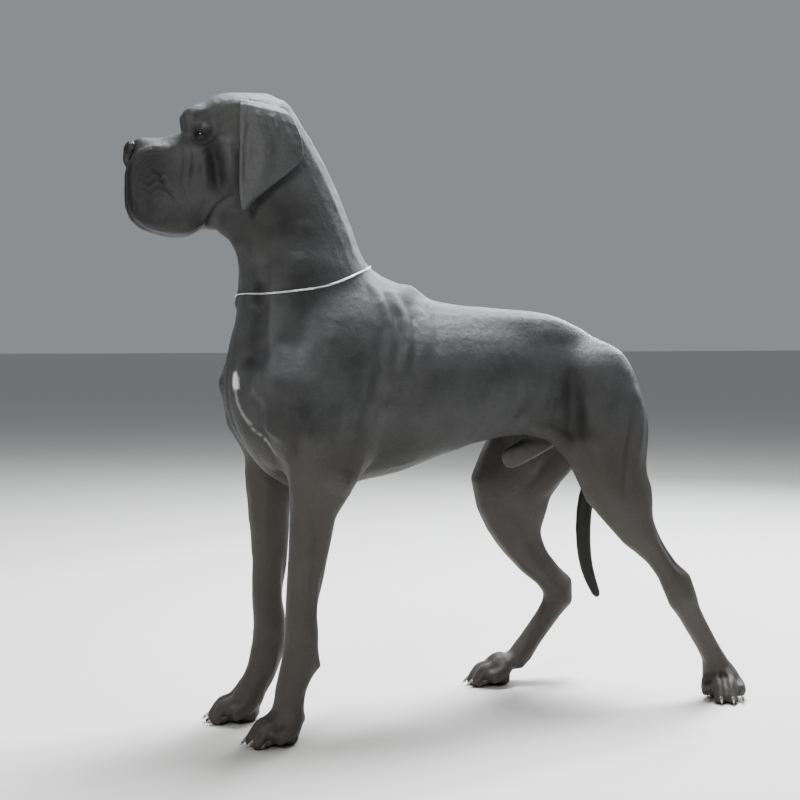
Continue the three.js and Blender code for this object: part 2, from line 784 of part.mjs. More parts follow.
// The line of the mouth: it starts under the nose and runs down between each hanging lip and the chin.
const MOUTH = [
  [0, -66],
  [7, -88],
  [15, -112],
  [21, -136],
  [25, -158],
  [26, -176],
];
function mouthLine(s) {
  const points = MOUTH.map(([y, w]) => {
    let u = -130;
    while (u < 0 && headShape(u, y, w) > 0) u += 0.5;
    return fromHead([u, y * s, w]);
  });
  const groove = limb(points.map((q) => [q.x, q.y, q.z, 3, 3]), { steps: 3 });
  return net(groove, points, { rings: 14, sides: 6, caps: [2, 2] });
}

// An ear: a leaf of skin that rises from the skull, folds over and hangs beside the cheek.
// Rows run from the root to the tip, and each row runs from the front edge to the rear edge.
const EAR_ROWS = [
  { front: [122, 30, 58], rear: [178, 28, 50], bulge: 0 },
  { front: [115, 46, 70], rear: [190, 44, 58], bulge: 5 },
  { front: [112, 60, 66], rear: [206, 58, 50], bulge: 10 },
  { front: [110, 70, 46], rear: [222, 66, 22], bulge: 13 },
  { front: [109, 75, 12], rear: [232, 69, -10], bulge: 13 },
  { front: [109, 76, -28], rear: [232, 70, -36], bulge: 12 },
  { front: [108, 76, -68], rear: [205, 74, -66], bulge: 9 },
  { front: [108, 77, -100], rear: [168, 78, -95], bulge: 7 },
  { front: [110, 79, -124], rear: [138, 80, -120], bulge: 3 },
  { front: [113, 81, -140], rear: [120, 81, -138], bulge: 0 },
];
const EAR_THICK = 6;
function ear(s) {
  const across = 7;
  const down = 15;
  const line = (key) => new THREE.CatmullRomCurve3(EAR_ROWS.map((r) => vec(r[key])), false, "centripetal");
  const front = line("front");
  const rear = line("rear");
  const middle = (u, v) => {
    const f = v * (EAR_ROWS.length - 1);
    const k = Math.min(Math.floor(f), EAR_ROWS.length - 2);
    const bulge = EAR_ROWS[k].bulge + (EAR_ROWS[k + 1].bulge - EAR_ROWS[k].bulge) * (f - k);
    const p = front.getPoint(v).lerp(rear.getPoint(v), u);
    p.y += bulge * Math.sin(Math.PI * Math.pow(u, 0.8)) + 3 * Math.sin(u * 9 + v * 4) * v;
    return p;
  };
  const positions = [];
  const index = [];
  for (const face of [1, -1])
    for (let i = 0; i <= down; i++)
      for (let j = 0; j <= across; j++) {
        const u = j / across;
        const v = i / down;
        const e = 0.01;
        const p = middle(u, v);
        const du = middle(Math.min(1, u + e), v).sub(middle(Math.max(0, u - e), v));
        const dv = middle(u, Math.min(1, v + e)).sub(middle(u, Math.max(0, v - e)));
        const normal = du.cross(dv).normalize();
        const edge = Math.min(1, 0.45 + 3 * Math.min(u, 1 - u, 1.4 * (1 - v)));
        p.addScaledVector(normal, (face * EAR_THICK * edge) / 2);
        const q = fromHead([p.x, p.y * s, p.z]);
        positions.push(q.x, q.y, q.z);
      }
  const wide = across + 1;
  const far = (down + 1) * wide;
  for (let i = 0; i < down; i++)
    for (let j = 0; j < across; j++) {
      const a = i * wide + j;
      index.push(a, a + 1, a + wide, a + 1, a + wide + 1, a + wide);
      index.push(far + a, far + a + wide, far + a + 1, far + a + 1, far + a + wide, far + a + wide + 1);
    }
  const rim = [];
  for (let j = 0; j < across; j++) rim.push(j);
  for (let i = 0; i < down; i++) rim.push(i * wide + across);
  for (let j = across; j > 0; j--) rim.push(down * wide + j);
  for (let i = down; i > 0; i--) rim.push(i * wide);
  for (let n = 0; n < rim.length; n++) {
    const a = rim[n];
    const b = rim[(n + 1) % rim.length];
    index.push(a, far + a, b, b, far + a, far + b);
  }
  return solid(positions, index);
}

// The tail hangs from the end of the croup, down between the thighs, with its tip at the height of the hocks.
const TAIL = [
  [476, 0, 703, 30, 28],
  [512, 0, 690, 27, 26],
  [540, 0, 656, 23, 22],
  [526, 0, 590, 20, 19],
  [480, 0, 500, 18, 18],
  [450, 0, 420, 18, 17],
  [445, 0, 340, 17, 16],
  [454, 0, 275, 15, 14],
  [475, 0, 224, 11, 11],
  [481, 0, 211, 9, 9],
];
const tailShape = limb(TAIL, { steps: 5 });
function tail() {
  const line = TAIL.slice(0, -1).map(([x, y, z]) => [x, y, z]);
  return net(tailShape, line, { rings: 18, sides: 9, caps: [2, 3], up: [0, 1, 0] });
}

// Claws: a tapered, curved horn on each toe.
const CLAW = [
  [9, 0, 8, 5.5, 4.5],
  [0, 0, 6, 5, 4.2],
  [-8, 0, 2, 3.6, 3],
  [-13, 0, -4, 1.4, 1.3],
];
function claw(matrix) {
  const line = CLAW.map(([x, y, z]) => [x, y, z]);
  const made = net(limb(CLAW, { steps: 3 }), line, { rings: 2, sides: 5, caps: [1, 2] });
  return made.transform(matrix.elements);
}

// The collar: a thin chain that lies round the root of the neck.
const COLLAR = { front: [-330, 0, 860], nape: [-72, 0, 916], thick: 2.4, sag: 16 };
function collar() {
  const front = vec(COLLAR.front);
  const nape = vec(COLLAR.nape);
  const middle = front.clone().lerp(nape, 0.5);
  const along = nape.clone().sub(front).normalize();
  const points = [];
  const count = 64;
  for (let i = 0; i < count; i++) {
    const a = (i / count) * 2 * Math.PI;
    const dir = along.clone().multiplyScalar(-Math.cos(a)).add(new THREE.Vector3(0, Math.sin(a), 0));
    const from = middle.clone();
    from.z -= COLLAR.sag * Math.sin(a) * Math.sin(a);
    let low = 0;
    let high = 260;
    for (let k = 0; k < 24; k++) {
      const r = (low + high) / 2;
      const p = from.clone().addScaledVector(dir, r);
      if (torsoAndNeck(p.x, p.y, p.z) < COLLAR.thick + GAP) low = r;
      else high = r;
    }
    points.push(from.addScaledVector(dir, low));
  }
  const loop = new THREE.CatmullRomCurve3(points, true);
  return solidOf(new THREE.TubeGeometry(loop, 52, COLLAR.thick, 4, true));
}

// Materials, by what each node is made of.
const COAT = { color: 0x4b4c4f, roughness: 0.62, metalness: 0 };
const EAR_SKIN = { color: 0x5a5a5c, roughness: 0.6, metalness: 0 };
const NOSE = { color: 0x17181a, roughness: 0.35, metalness: 0 };
const EYE_DARK = { color: 0x120d0a, roughness: 0.08, metalness: 0 };
const HORN = { color: 0xb9b0a2, roughness: 0.4, metalness: 0 };
const STEEL = { color: 0xc4c6c8, roughness: 0.22, metalness: 1 };

const dog = new THREE.Group();
function addNode(name, made, look) {
  const { vertProperties, triVerts, numProp, numVert } = made.getMesh();
  const positions = new Float32Array(numVert * 3);
  for (let i = 0; i < numVert; i++) {
    positions.set(vertProperties.subarray(i * numProp, i * numProp + 3), i * 3);
  }
  const geometry = new THREE.BufferGeometry();
  geometry.setAttribute("position", new THREE.BufferAttribute(positions, 3));
  geometry.setIndex(new THREE.BufferAttribute(new Uint32Array(triVerts), 1));
  const mesh = new THREE.Mesh(geometry, new THREE.MeshStandardMaterial(look));
  mesh.name = name;
  dog.add(mesh);
}

for (const name of Object.keys(PLACES)) {
  if (!found[name]) throw new Error("the cuts didn't part " + name);
  let made = found[name];
  if (name === "head") {
    for (const [s] of SIDES) made = made.subtract(joined([lidSlit(s), eyeball(s, GAP), mouthLine(s)]));
  }
  addNode(name, largest(made), COAT);
}
const noseHollows = joined([nostril(LEFT), nostril(RIGHT), fleshAndGap]);
addNode("nose", largest(noseSolid(0).subtract(noseHollows)), NOSE);
addNode("tail", largest(tail().subtract(fleshAndGap)), COAT);
addNode("collar", largest(collar().subtract(fleshAndGap)), STEEL);
for (const [s, name] of SIDES) {
  addNode("eye_" + name, eyeball(s, 0), EYE_DARK);
  addNode("ear_" + name, largest(ear(s).subtract(fleshAndGap)), EAR_SKIN);
}
for (const leg of legs) {
  TOES.forEach(({ side, set }, i) => {
    const place = new THREE.Matrix4()
      .makeScale(leg.scale, leg.scale, leg.scale)
      .setPosition((-TOE_REACH - 12 + set) * leg.scale, side * 1.03 * leg.scale, 9 * leg.scale);
    const made = claw(leg.matrix.clone().multiply(place)).subtract(fleshAndGap);
    addNode(leg.pawName.replace("paw", "claw") + "_" + (i + 1), largest(made), HORN);
  });
}

// The origin is the middle of the model's box, on the floor.
const box = new THREE.Box3().setFromObject(dog);
dog.position.set(-(box.min.x + box.max.x) / 2, -(box.min.y + box.max.y) / 2, 0);

export default dog;
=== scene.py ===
import math

import bmesh
import bpy
import numpy as np
from mathutils import Matrix, Vector


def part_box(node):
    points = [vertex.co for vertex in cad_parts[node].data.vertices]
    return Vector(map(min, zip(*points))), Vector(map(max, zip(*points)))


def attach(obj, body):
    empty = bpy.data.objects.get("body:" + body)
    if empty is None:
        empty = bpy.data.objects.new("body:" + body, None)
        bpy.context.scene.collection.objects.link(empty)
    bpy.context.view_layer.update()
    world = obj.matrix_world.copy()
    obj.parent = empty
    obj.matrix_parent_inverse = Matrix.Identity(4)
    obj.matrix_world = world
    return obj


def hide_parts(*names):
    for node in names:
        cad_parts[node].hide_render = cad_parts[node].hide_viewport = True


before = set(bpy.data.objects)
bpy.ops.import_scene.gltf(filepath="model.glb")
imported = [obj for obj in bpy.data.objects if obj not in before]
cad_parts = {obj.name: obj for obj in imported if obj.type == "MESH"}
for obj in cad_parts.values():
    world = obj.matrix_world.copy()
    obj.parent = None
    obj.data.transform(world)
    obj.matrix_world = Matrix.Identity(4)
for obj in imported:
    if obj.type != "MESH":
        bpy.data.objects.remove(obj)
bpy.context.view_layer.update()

# The camera stands at about the height of the head, ahead of the dog's left shoulder and three metres away,
# and looks almost level.
camera_data = bpy.data.cameras.new("camera")
camera_data.sensor_width = 36.0
camera_data.lens = 64.35
camera = bpy.data.objects.new("camera", camera_data)
bpy.context.scene.collection.objects.link(camera)
bpy.context.scene.camera = camera

# The dog's own axes. The body is laid out about the withers. The head has axes of its own at the stop, the
# notch between the eyes, because it is turned a little to the dog's right. Both are read off the two
# eyeballs.
def middle_of(node):
    low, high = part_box(node)
    return (Vector(low) + Vector(high)) / 2


eye_left_at = middle_of("eye_left")
eye_right_at = middle_of("eye_right")
across_head = (eye_right_at - eye_left_at).normalized()
up_head = Vector((0, 0, 1))
rear_head = across_head.cross(up_head).normalized()
stop = (eye_left_at + eye_right_at) / 2 - rear_head * 0.042 - up_head * 0.003
withers_at = stop - Vector((-0.449, 0.038, 1.155))
camera.location = withers_at + Vector((-1.2263, -2.640, 0.770))
camera.rotation_euler = (math.radians(90 - 2.40), 0, math.radians(-25))


def to_head(p):
    """Millimetres behind the stop, to the dog's right of it, and above it."""
    rows = np.array([rear_head, across_head, up_head])
    return (p - np.array(stop)) @ rows.T * 1000


def to_body(p):
    """Millimetres behind the withers, to the dog's right of them, and above the floor."""
    return (p - np.array(withers_at)) * 1000


# The skin, with short hair on it. One hide covers the body from the chain to the tail and down to the pads,
# and a second covers the head and the neck down to the chain. Both are drawn over the solid flesh,
# smoothed, and worked: hollows, folds, ribs, muscles and sinews are pressed in or raised.
def points_of(mesh):
    flat = np.empty(len(mesh.vertices) * 3, dtype=np.float32)
    mesh.vertices.foreach_get("co", flat)
    return flat.reshape(-1, 3).astype(float)


def put_points(mesh, points):
    mesh.vertices.foreach_set("co", points.astype(np.float32).ravel())
    mesh.update()


def normals_of(mesh):
    flat = np.empty(len(mesh.vertices) * 3, dtype=np.float32)
    mesh.vertex_normals.foreach_get("vector", flat)
    return flat.reshape(-1, 3).astype(float)


def hide_over(names, name, voxel, swell=0.0005, balls=()):
    """Closes the thin gaps between the named solids and covers them all, and the balls, with one even net."""
    gathered = bmesh.new()
    for node in names:
        part = bmesh.new()
        part.from_mesh(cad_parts[node].data)
        bmesh.ops.remove_doubles(part, verts=part.verts, dist=1e-6)
        part.normal_update()
        for v in part.verts:
            v.co += v.normal * swell
        grown = bpy.data.meshes.new("grown")
        part.to_mesh(grown)
        part.free()
        gathered.from_mesh(grown)
        bpy.data.meshes.remove(grown)
    for centre, radius in balls:
        place = Matrix.Translation(centre)
        bmesh.ops.create_uvsphere(gathered, u_segments=32, v_segments=24, radius=radius, matrix=place)
    rough = bpy.data.meshes.new(name + "_rough")
    gathered.to_mesh(rough)
    gathered.free()
    holder = bpy.data.objects.new(name + "_rough", rough)
    bpy.context.scene.collection.objects.link(holder)
    cover = holder.modifiers.new("cover", "REMESH")
    cover.mode = "VOXEL"
    cover.voxel_size = voxel
    evaluated = holder.evaluated_get(bpy.context.evaluated_depsgraph_get())
    mesh = bpy.data.meshes.new_from_object(evaluated)
    mesh.name = name
    bpy.data.objects.remove(holder)
    bpy.data.meshes.remove(rough)
    return mesh


def relax(mesh, rounds, ease=None, strength=0.55, back=0.64):
    """Evens the net out and takes off the flats, most where ease is 1, with hardly any loss of bulk."""
    pairs = np.empty(len(mesh.edges) * 2, dtype=np.int32)
    mesh.edges.foreach_get("vertices", pairs)
    a, b = pairs.reshape(-1, 2).T
    p = points_of(mesh)
    count = np.maximum(np.bincount(a, minlength=len(p)) + np.bincount(b, minlength=len(p)), 1)
    ease = np.ones(len(p)) if ease is None else ease
    for i in range(rounds):
        for amount in (strength, -strength * back):
            total = np.empty_like(p)
            for k in range(3):
                total[:, k] = np.bincount(a, p[b, k], len(p)) + np.bincount(b, p[a, k], len(p))
            p += (total / count[:, None] - p) * (amount * ease)[:, None]
    put_points(mesh, p)


def from_path(q, path):
    """Each point's distance from a line through the given points, and how far along the line it is."""
    best = np.full(len(q), 1e9)
    along = np.full(len(q), 0.5)
    ends = [np.array(s, dtype=float) for s in path]
    if len(ends) == 1:
        return np.linalg.norm(q - ends[0], axis=1), along
    lengths = [np.linalg.norm(e - s) for s, e in zip(ends, ends[1:])]
    done = 0.0
    for s, e, length in zip(ends, ends[1:], lengths):
        d = e - s
        t = np.clip(((q - s) @ d) / (d @ d), 0, 1)
        distance = np.linalg.norm(q - s - t[:, None] * d, axis=1)
        nearer = distance < best
        best = np.where(nearer, distance, best)
        along = np.where(nearer, (done + t * length) / sum(lengths), along)
        done += length
    return best, along


def stroke(q, path, width, depth, where=None):
    """How far a groove goes in at each point, in millimetres. It fades out at its ends.

    A ridge has a depth below 0.
    """
    d, along = from_path(q, path)
    amount = np.exp(-((d / width) ** 2)) * depth
    amount *= soft_step(along, -0.12, 0.28) * soft_step(along, 1.12, 0.72)
    return amount if where is None else amount * where


def soft_step(value, start, end):
    t = np.clip((value - start) / (end - start), 0, 1)
    return t * t * (3 - 2 * t)


# The chain's ring round the neck is where the body's hide ends and the head's begins.
collar_points = points_of(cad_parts["collar"].data)
collar_centre = collar_points.mean(axis=0)
collar_plane = np.linalg.svd(collar_points - collar_centre)[2][2]
collar_plane *= np.sign(collar_plane[2])


def off_collar(points):
    """0 under the chain, where the skin lies flat, and 1 from 30 mm above or below it."""
    return soft_step(np.abs((points - collar_centre) @ collar_plane), 0.008, 0.030)


body_names = ["torso", "neck", "tail"]
for side in ("left", "right"):
    body_names += ["foreleg_" + side, "forepaw_" + side, "hindleg_" + side, "hindpaw_" + side]

body_mesh = hide_over(body_names, "body_hide", 0.0036, swell=0.0012)
q = to_body(points_of(body_mesh))
paws = soft_step(q[:, 2], 130, 70)
relax(body_mesh, 50, 1 - 0.95 * paws)

q = to_body(points_of(body_mesh))
breast = soft_step(q[:, 0], -180, -230) * soft_step(q[:, 2], 470, 520) * soft_step(q[:, 2], 830, 790)
relax(body_mesh, 50, breast, 0.55, 0.4)

q = to_body(points_of(body_mesh))
x, y, z = q.T
side_on = q[:, [0, 2]]
front_on = np.abs(q[:, [1, 2]])
flank = soft_step(np.abs(y), 30, 60)
push = np.zeros(len(q))

# the neck's throat muscles, and the hollows between the neck and the point of the shoulder
push += stroke(side_on, [(-301, 985), (-298, 945), (-300, 900)], 20, 7, flank)
push += stroke(side_on, [(-320, 890), (-330, 830), (-338, 770), (-342, 715)], 12, 12, flank)
push += stroke(side_on, [(-336, 748)], 17, 10, flank)
push += stroke(front_on, [(36, 900), (34, 820), (30, 760), (20, 700)], 9, 6, soft_step(x, -300, -320))
push += stroke(side_on, [(-224, 850), (-247, 789), (-268, 738)], 14, 4, flank)
push += stroke(side_on, [(-291, 766)], 15, 4, flank)
push += stroke(side_on, [(-244, 686)], 27, -5, flank)
push += stroke(side_on, [(-190, 800), (-205, 745), (-226, 705)], 12, -3, flank)
push += stroke(side_on, [(-225, 661), (-245, 635), (-266, 610), (-275, 583), (-262, 540)], 9, 4.5, flank)
push += stroke(side_on, [(-205, 640), (-215, 600), (-222, 560)], 14, -3, flank)
push += stroke(side_on, [(-98, 780), (-96, 712), (-107, 660), (-138, 604), (-158, 556)], 14, 7, flank)
push += stroke(side_on, [(-120, 770), (-119, 712), (-130, 663), (-163, 607), (-184, 560)], 11, -4, flank)
push += stroke(side_on, [(-160, 690), (-178, 640), (-196, 590)], 8, 2.5, flank)

# the loose folds that hang from the withers behind the collar
push += stroke(side_on, [(-98, 880), (-92, 836), (-88, 796), (-94, 740)], 11, 4)
push += stroke(side_on, [(-78, 870), (-70, 832), (-68, 790), (-76, 730)], 10, -4, flank)
push += stroke(side_on, [(-60, 866), (-52, 817), (-54, 765), (-70, 700)], 10, 5, flank)
push += stroke(side_on, [(-42, 862), (-32, 817), (-34, 765), (-50, 700)], 10, -5, flank)
push += stroke(side_on, [(-20, 858), (-10, 815), (-16, 765), (-34, 705)], 11, 3.5, flank)
push += stroke(side_on, [(14, 840), (16, 795), (6, 740)], 12, -2.5, flank)
push += stroke(side_on, [(36, 836), (38, 790), (28, 740)], 12, 2, flank)

# ribs, the arch behind the last one, and the furrow down the back
for k in range(3, 9):
    rib_x = -52 + 36 * k
    rib = [(rib_x, 765), (rib_x + 16, 700), (rib_x + 10, 630), (rib_x - 14, 570)]
    push += stroke(side_on, rib, 10, 0.64 + 0.096 * k, flank)
push += stroke(side_on, [(262, 768), (286, 700), (262, 625), (200, 575)], 15, 3.5, flank)
spine = soft_step(np.abs(y), 16, 4)
push += stroke(side_on, [(-10, 865), (120, 850), (260, 838), (380, 815)], 40, 2.5, spine)
push += stroke(side_on, [(298, 786)], 26, -4, soft_step(np.abs(y), 30, 60))

# the flank: its pit, and the web of skin from the belly to the stifle
stretched = flank * np.where(y < 0, 1, 0.4)
push += stroke(side_on, [(352, 710), (352, 646), (357, 600), (368, 556)], 17, 13, stretched)
web = [(250, 578), (290, 575), (315, 566), (338, 544), (358, 514), (371, 482)]
push += stroke(side_on, web, 6, -2.5, flank)
push += stroke(side_on, [(262, 606), (318, 598), (352, 572), (378, 538), (396, 500)], 12, 4, flank)
push += stroke(side_on, [(384, 690), (380, 640), (386, 590)], 14, -3, flank)

# the thigh: hip joint, seat bone and the furrow between the hams
push += stroke(side_on, [(428, 664)], 26, -4, flank)
push += stroke(side_on, [(492, 652)], 20, -5, flank)
near = soft_step(y, -60, -90)
far = soft_step(y, 60, 90)
push += stroke(side_on, [(492, 628), (474, 582), (458, 520), (436, 440)], 11, 8, near)
push += stroke(side_on, [(410, 660), (404, 580), (388, 500)], 24, -5, near)
push += stroke(side_on, [(512, 640), (500, 580), (486, 520)], 14, -4, near)
push += stroke(side_on, [(486, 628), (440, 560), (392, 500), (360, 452)], 10, 5, far)
push += stroke(side_on, [(400, 640), (352, 560), (316, 500)], 22, -4, far)

# second thighs and hocks: the sinew stands clear of the shin, and the heel is bony
push += stroke(q, [(528, -160, 372), (556, -168, 322), (584, -170, 276)], 11, 6)
push += stroke(q, [(528, -128, 372), (556, -134, 322), (582, -140, 276)], 11, 5)
push += stroke(q, [(420, 150, 350), (452, 156, 290), (484, 160, 236)], 12, 6)
push += stroke(q, [(420, 112, 350), (452, 118, 290), (484, 124, 236)], 12, 5)
push += stroke(q, [(560, -182, 238), (590, -184, 222)], 12, -2.5)
push += stroke(q, [(452, 170, 196), (474, 170, 186)], 12, -2.5)
for inner_y in (-186, -150):
    push += stroke(q, [(600, inner_y, 214), (630, inner_y - 6, 150), (658, inner_y - 10, 100)], 6, 2.5)
for inner_y in (166, 128):
    push += stroke(q, [(450, inner_y, 168), (410, inner_y, 120), (376, inner_y + 2, 80)], 6, 2.5)

# forelegs: extensor and flexor muscles, sinews, the wrist's bones and the wrinkled elbow
fore = soft_step(x, -120, -150) * soft_step(z, 500, 470)
outside = fore * soft_step(np.abs(y), 100, 112)
push += stroke(side_on, [(-233, 452), (-234, 390), (-238, 320), (-242, 220)], 8, 5, outside)
push += stroke(side_on, [(-216, 330), (-217, 280), (-216, 222)], 6, 4, fore)
push += stroke(side_on, [(-262, 430), (-256, 380), (-256, 330)], 13, -2.5, fore)
push += stroke(side_on, [(-262, 186), (-258, 172)], 13, -3, fore)
push += stroke(side_on, [(-272, 150), (-232, 158)], 6, 2, fore)
push += stroke(side_on, [(-238, 116), (-262, 84), (-282, 62)], 7, 2, fore * soft_step(np.abs(y), 104, 112))
elbow = soft_step(np.abs(y), 96, 120)
push += stroke(side_on, [(-176, 492)], 15, -4, elbow)
for k in range(4):
    push += stroke(side_on, [(-204, 510 - 10 * k), (-164, 500 - 11 * k)], 3.4, 2.6, elbow)

# the sheath narrows towards its tip
push += stroke(q, [(222, -8, 512), (262, -8, 526), (282, -8, 532)], 26, 7)
push += stroke(q, [(296, -4, 556), (262, -4, 548)], 10, 3)

# the breast: its middle furrow, and the grooves between the breast muscles and the arms
chest_front = soft_step(x, -210, -300)
below_throat = chest_front * soft_step(z, 810, 760)
push += stroke(front_on, [(0, 760), (0, 640), (0, 560)], 9, 3.5, below_throat)
push += stroke(front_on, [(90, 760), (80, 660), (74, 580), (72, 500)], 16, 5, chest_front)
push += stroke(front_on, [(42, 700), (36, 620), (34, 560)], 24, -4, chest_front)

# the furrows between the toes, which lead back from between the claws
for pair in ("foreclaw_left", "foreclaw_right", "hindclaw_left", "hindclaw_right"):
    claws = [np.array(middle_of(pair + "_" + str(k))) for k in (1, 2, 3, 4)]
    heel = np.array(middle_of(pair.replace("claw", "paw")))
    for first, second in zip(claws, claws[1:]):
        start = (first + second) / 2
        back = (heel - start) * [1, 1, 0]
        back /= np.linalg.norm(back)
        climb = ((-0.012, -0.006), (0.012, 0.022), (0.034, 0.036), (0.060, 0.046))
        furrow = [start + back * along + [0, 0, rise] for along, rise in climb]
        push += stroke(q, to_body(np.array(furrow)), 5.0, 4.2)

push *= off_collar(points_of(body_mesh))
p = points_of(body_mesh) - normals_of(body_mesh) * (push / 1000)[:, None]
p[:, 2] = np.maximum(p[:, 2], 0.0)
put_points(body_mesh, p)
relax(body_mesh, 2, 1 - 0.8 * paws)

# Each hide is trimmed along the plane of the collar and thinned until it is light enough to hand on.
def trim(mesh, name, keep_above, beyond, most):
    cut = bmesh.new()
    cut.from_mesh(mesh)
    place = Vector(collar_centre) + Vector(collar_plane) * beyond
    bmesh.ops.bisect_plane(
        cut,
        geom=cut.verts[:] + cut.edges[:] + cut.faces[:],
        dist=1e-6,
        plane_co=place,
        plane_no=Vector(collar_plane),
        clear_inner=keep_above,
        clear_outer=not keep_above,
    )
    whole = bpy.data.meshes.new(name)
    cut.to_mesh(whole)
    cut.free()
    holder = bpy.data.objects.new(name + "_heavy", whole)
    bpy.context.scene.collection.objects.link(holder)
    faces = sum(len(f.vertices) - 2 for f in whole.polygons)
    thin = holder.modifiers.new("thin", "DECIMATE")
    thin.ratio = min(1.0, most / faces)
    evaluated = holder.evaluated_get(bpy.context.evaluated_depsgraph_get())
    lighter = bpy.data.meshes.new_from_object(evaluated)
    lighter.name = name
    bpy.data.objects.remove(holder)
    lighter.shade_smooth()
    piece = bpy.data.objects.new(name, lighter)
    bpy.context.scene.collection.objects.link(piece)
    return piece


body_hide = trim(body_mesh, "body_hide", False, 0.004, 190000)
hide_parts(*[n for n in body_names if n != "neck"])
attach(body_hide, "root")

# The hide of the head: skin with short hair, drum-tight over the skull and the bridge, and loose and
# creased over the lips and under the eyes. It runs down the neck in one piece and ends under the chain.
eye_radius = 0.01195
eye_depth = 0.0022
lid_radius = 0.0134
socket_radius, socket_depth = 0.0212, 0.008
skin_over_eyes = []
for s, centre in ((-1, eye_left_at), (1, eye_right_at)):
    outward = (rear_head * -0.55 + across_head * (0.83 * s)).normalized()
    centre -= outward * eye_depth
    skin_over_eyes += [(centre, lid_radius), (centre - outward * socket_depth, socket_radius)]
head_mesh = hide_over(["head", "neck"], "head_hide", 0.0018, balls=skin_over_eyes)
h = to_head(points_of(head_mesh))
u, v, w = h.T


def from_eye(at):
    """The distance of each point from the nearer eye's middle, both eyes being alike."""
    return np.linalg.norm(np.column_stack([at[:, 0], np.abs(at[:, 1]), at[:, 2]]) - [42, 42.5, 3], axis=1)


about_eye = from_eye(h)
by_mouth = np.exp(-(((np.abs(v) - 18) / 14) ** 2)) * soft_step(u, -50, -80) * soft_step(w, -50, -70)
relax(head_mesh, 60, 1 - 0.75 * soft_step(about_eye, 22, 15) - 0.7 * by_mouth)

h = to_head(points_of(head_mesh))
u, v, w = h.T
beside = h[:, [0, 2]]
flat_side = soft_step(np.abs(v), 22, 36)
push = np.zeros(len(h))

# under and behind the eye: the deep pocket in front of the cheek, and the soft folds that run down from it
push += stroke(beside, [(58, 0), (62, -34), (68, -64), (72, -104)], 14, 11, flat_side)
push += stroke(beside, [(44, -22), (58, -34), (70, -40)], 12, 4, flat_side)
push += stroke(beside, [(88, 0), (92, -46), (86, -96)], 10, -3, flat_side)
push += stroke(beside, [(36, -20), (44, -50), (50, -96)], 8, -2.5, flat_side)
sag = 1 - np.abs(np.sin((u + 5 * np.sin(w * 0.05) + 0.12 * w) * math.pi / 15))
push += (3.2 * sag**1.6 - 1.0) * np.exp(-(((u - 22) / 17) ** 2) - ((w + 62) / 32) ** 2) * flat_side

# the lips: a patch of wavy creases on their side, the crease at the mouth's corner, and the rolled lower
# edge
wave = w + 0.22 * u + 6 * np.sin(u * 0.085 + 0.8) + 2.5 * np.sin(u * 0.21 + w * 0.06)
crease = 1 - np.abs(np.sin(wave * math.pi / 14))
push += (5.6 * crease**1.5 - 1.7) * np.exp(-(((u + 42) / 25) ** 2) - ((w + 92) / 28) ** 2) * flat_side
wave = w - 0.5 * u + 4 * np.sin(u * 0.13)
crease = 1 - np.abs(np.sin(wave * math.pi / 9))
push += (3.0 * crease**1.5 - 0.9) * np.exp(-(((u + 58) / 16) ** 2) - ((w + 44) / 14) ** 2) * flat_side
push += stroke(beside, [(-60, -58), (-38, -70), (-26, -96), (-10, -116), (6, -122)], 4, 3, flat_side)
push += stroke(beside, [(52, -172), (60, -150), (70, -132), (86, -120), (98, -112)], 6, 6, flat_side)
push += stroke(beside, [(42, -172), (50, -148), (60, -130)], 7, -3, flat_side)
push += stroke(beside, [(-82, -148), (-50, -168), (0, -176), (36, -166)], 7, -2.2, flat_side)
push += stroke(beside, [(-60, -140), (-20, -154), (20, -152)], 9, 2.2, flat_side)

# the brow and skull: eyebrow ridge, temple hollow, cheek muscle and the furrow up the forehead
push += stroke(beside, [(14, 20), (38, 24), (64, 12)], 8, -4.0, soft_step(np.abs(v), 28, 40))
push += stroke(beside, [(28, 38), (50, 38), (66, 30)], 6, 2.5, flat_side)
push += stroke(beside, [(66, 32), (88, 38), (110, 34)], 18, 3, soft_step(np.abs(v), 30, 44))
push += stroke(beside, [(84, 2)], 13, 3.5, soft_step(np.abs(v), 30, 44))
push += stroke(beside, [(92, -20), (96, -60), (90, -100)], 24, -4, soft_step(np.abs(v), 40, 52))
push += stroke(h[:, :2], [(-10, 0), (40, 0), (130, 0)], 12, 3, soft_step(w, 4, 20))
push += stroke(np.abs(h[:, 1:]), [(0, -48), (0, -70), (0, -96)], 3.6, 4.5, soft_step(u, -70, -84))

# the neck, worked the same as below the collar, and the wrinkles where throat meets jaw
q = to_body(points_of(head_mesh))
x, y, z = q.T
side_on = q[:, [0, 2]]
flank = soft_step(np.abs(y), 22, 46) * soft_step(z, 1010, 985)
push += stroke(side_on, [(-301, 985), (-298, 945), (-300, 900)], 20, 7, soft_step(np.abs(y), 30, 60))
push += stroke(side_on, [(-330, 965), (-322, 920), (-318, 870)], 10, -3, flank)
push += stroke(side_on, [(-316, 860), (-326, 811), (-333, 770)], 11, 8, flank)
push += stroke(side_on, [(-240, 1010), (-214, 950), (-190, 890)], 26, -3, flank)
push += stroke(q, [(-372, 30, 985), (-350, 30, 965), (-346, -14, 965), (-372, -14, 990)], 6, 2)

push *= off_collar(points_of(head_mesh))
p = points_of(head_mesh) - normals_of(head_mesh) * (push / 1000)[:, None]
put_points(head_mesh, p)
relax(head_mesh, 1)

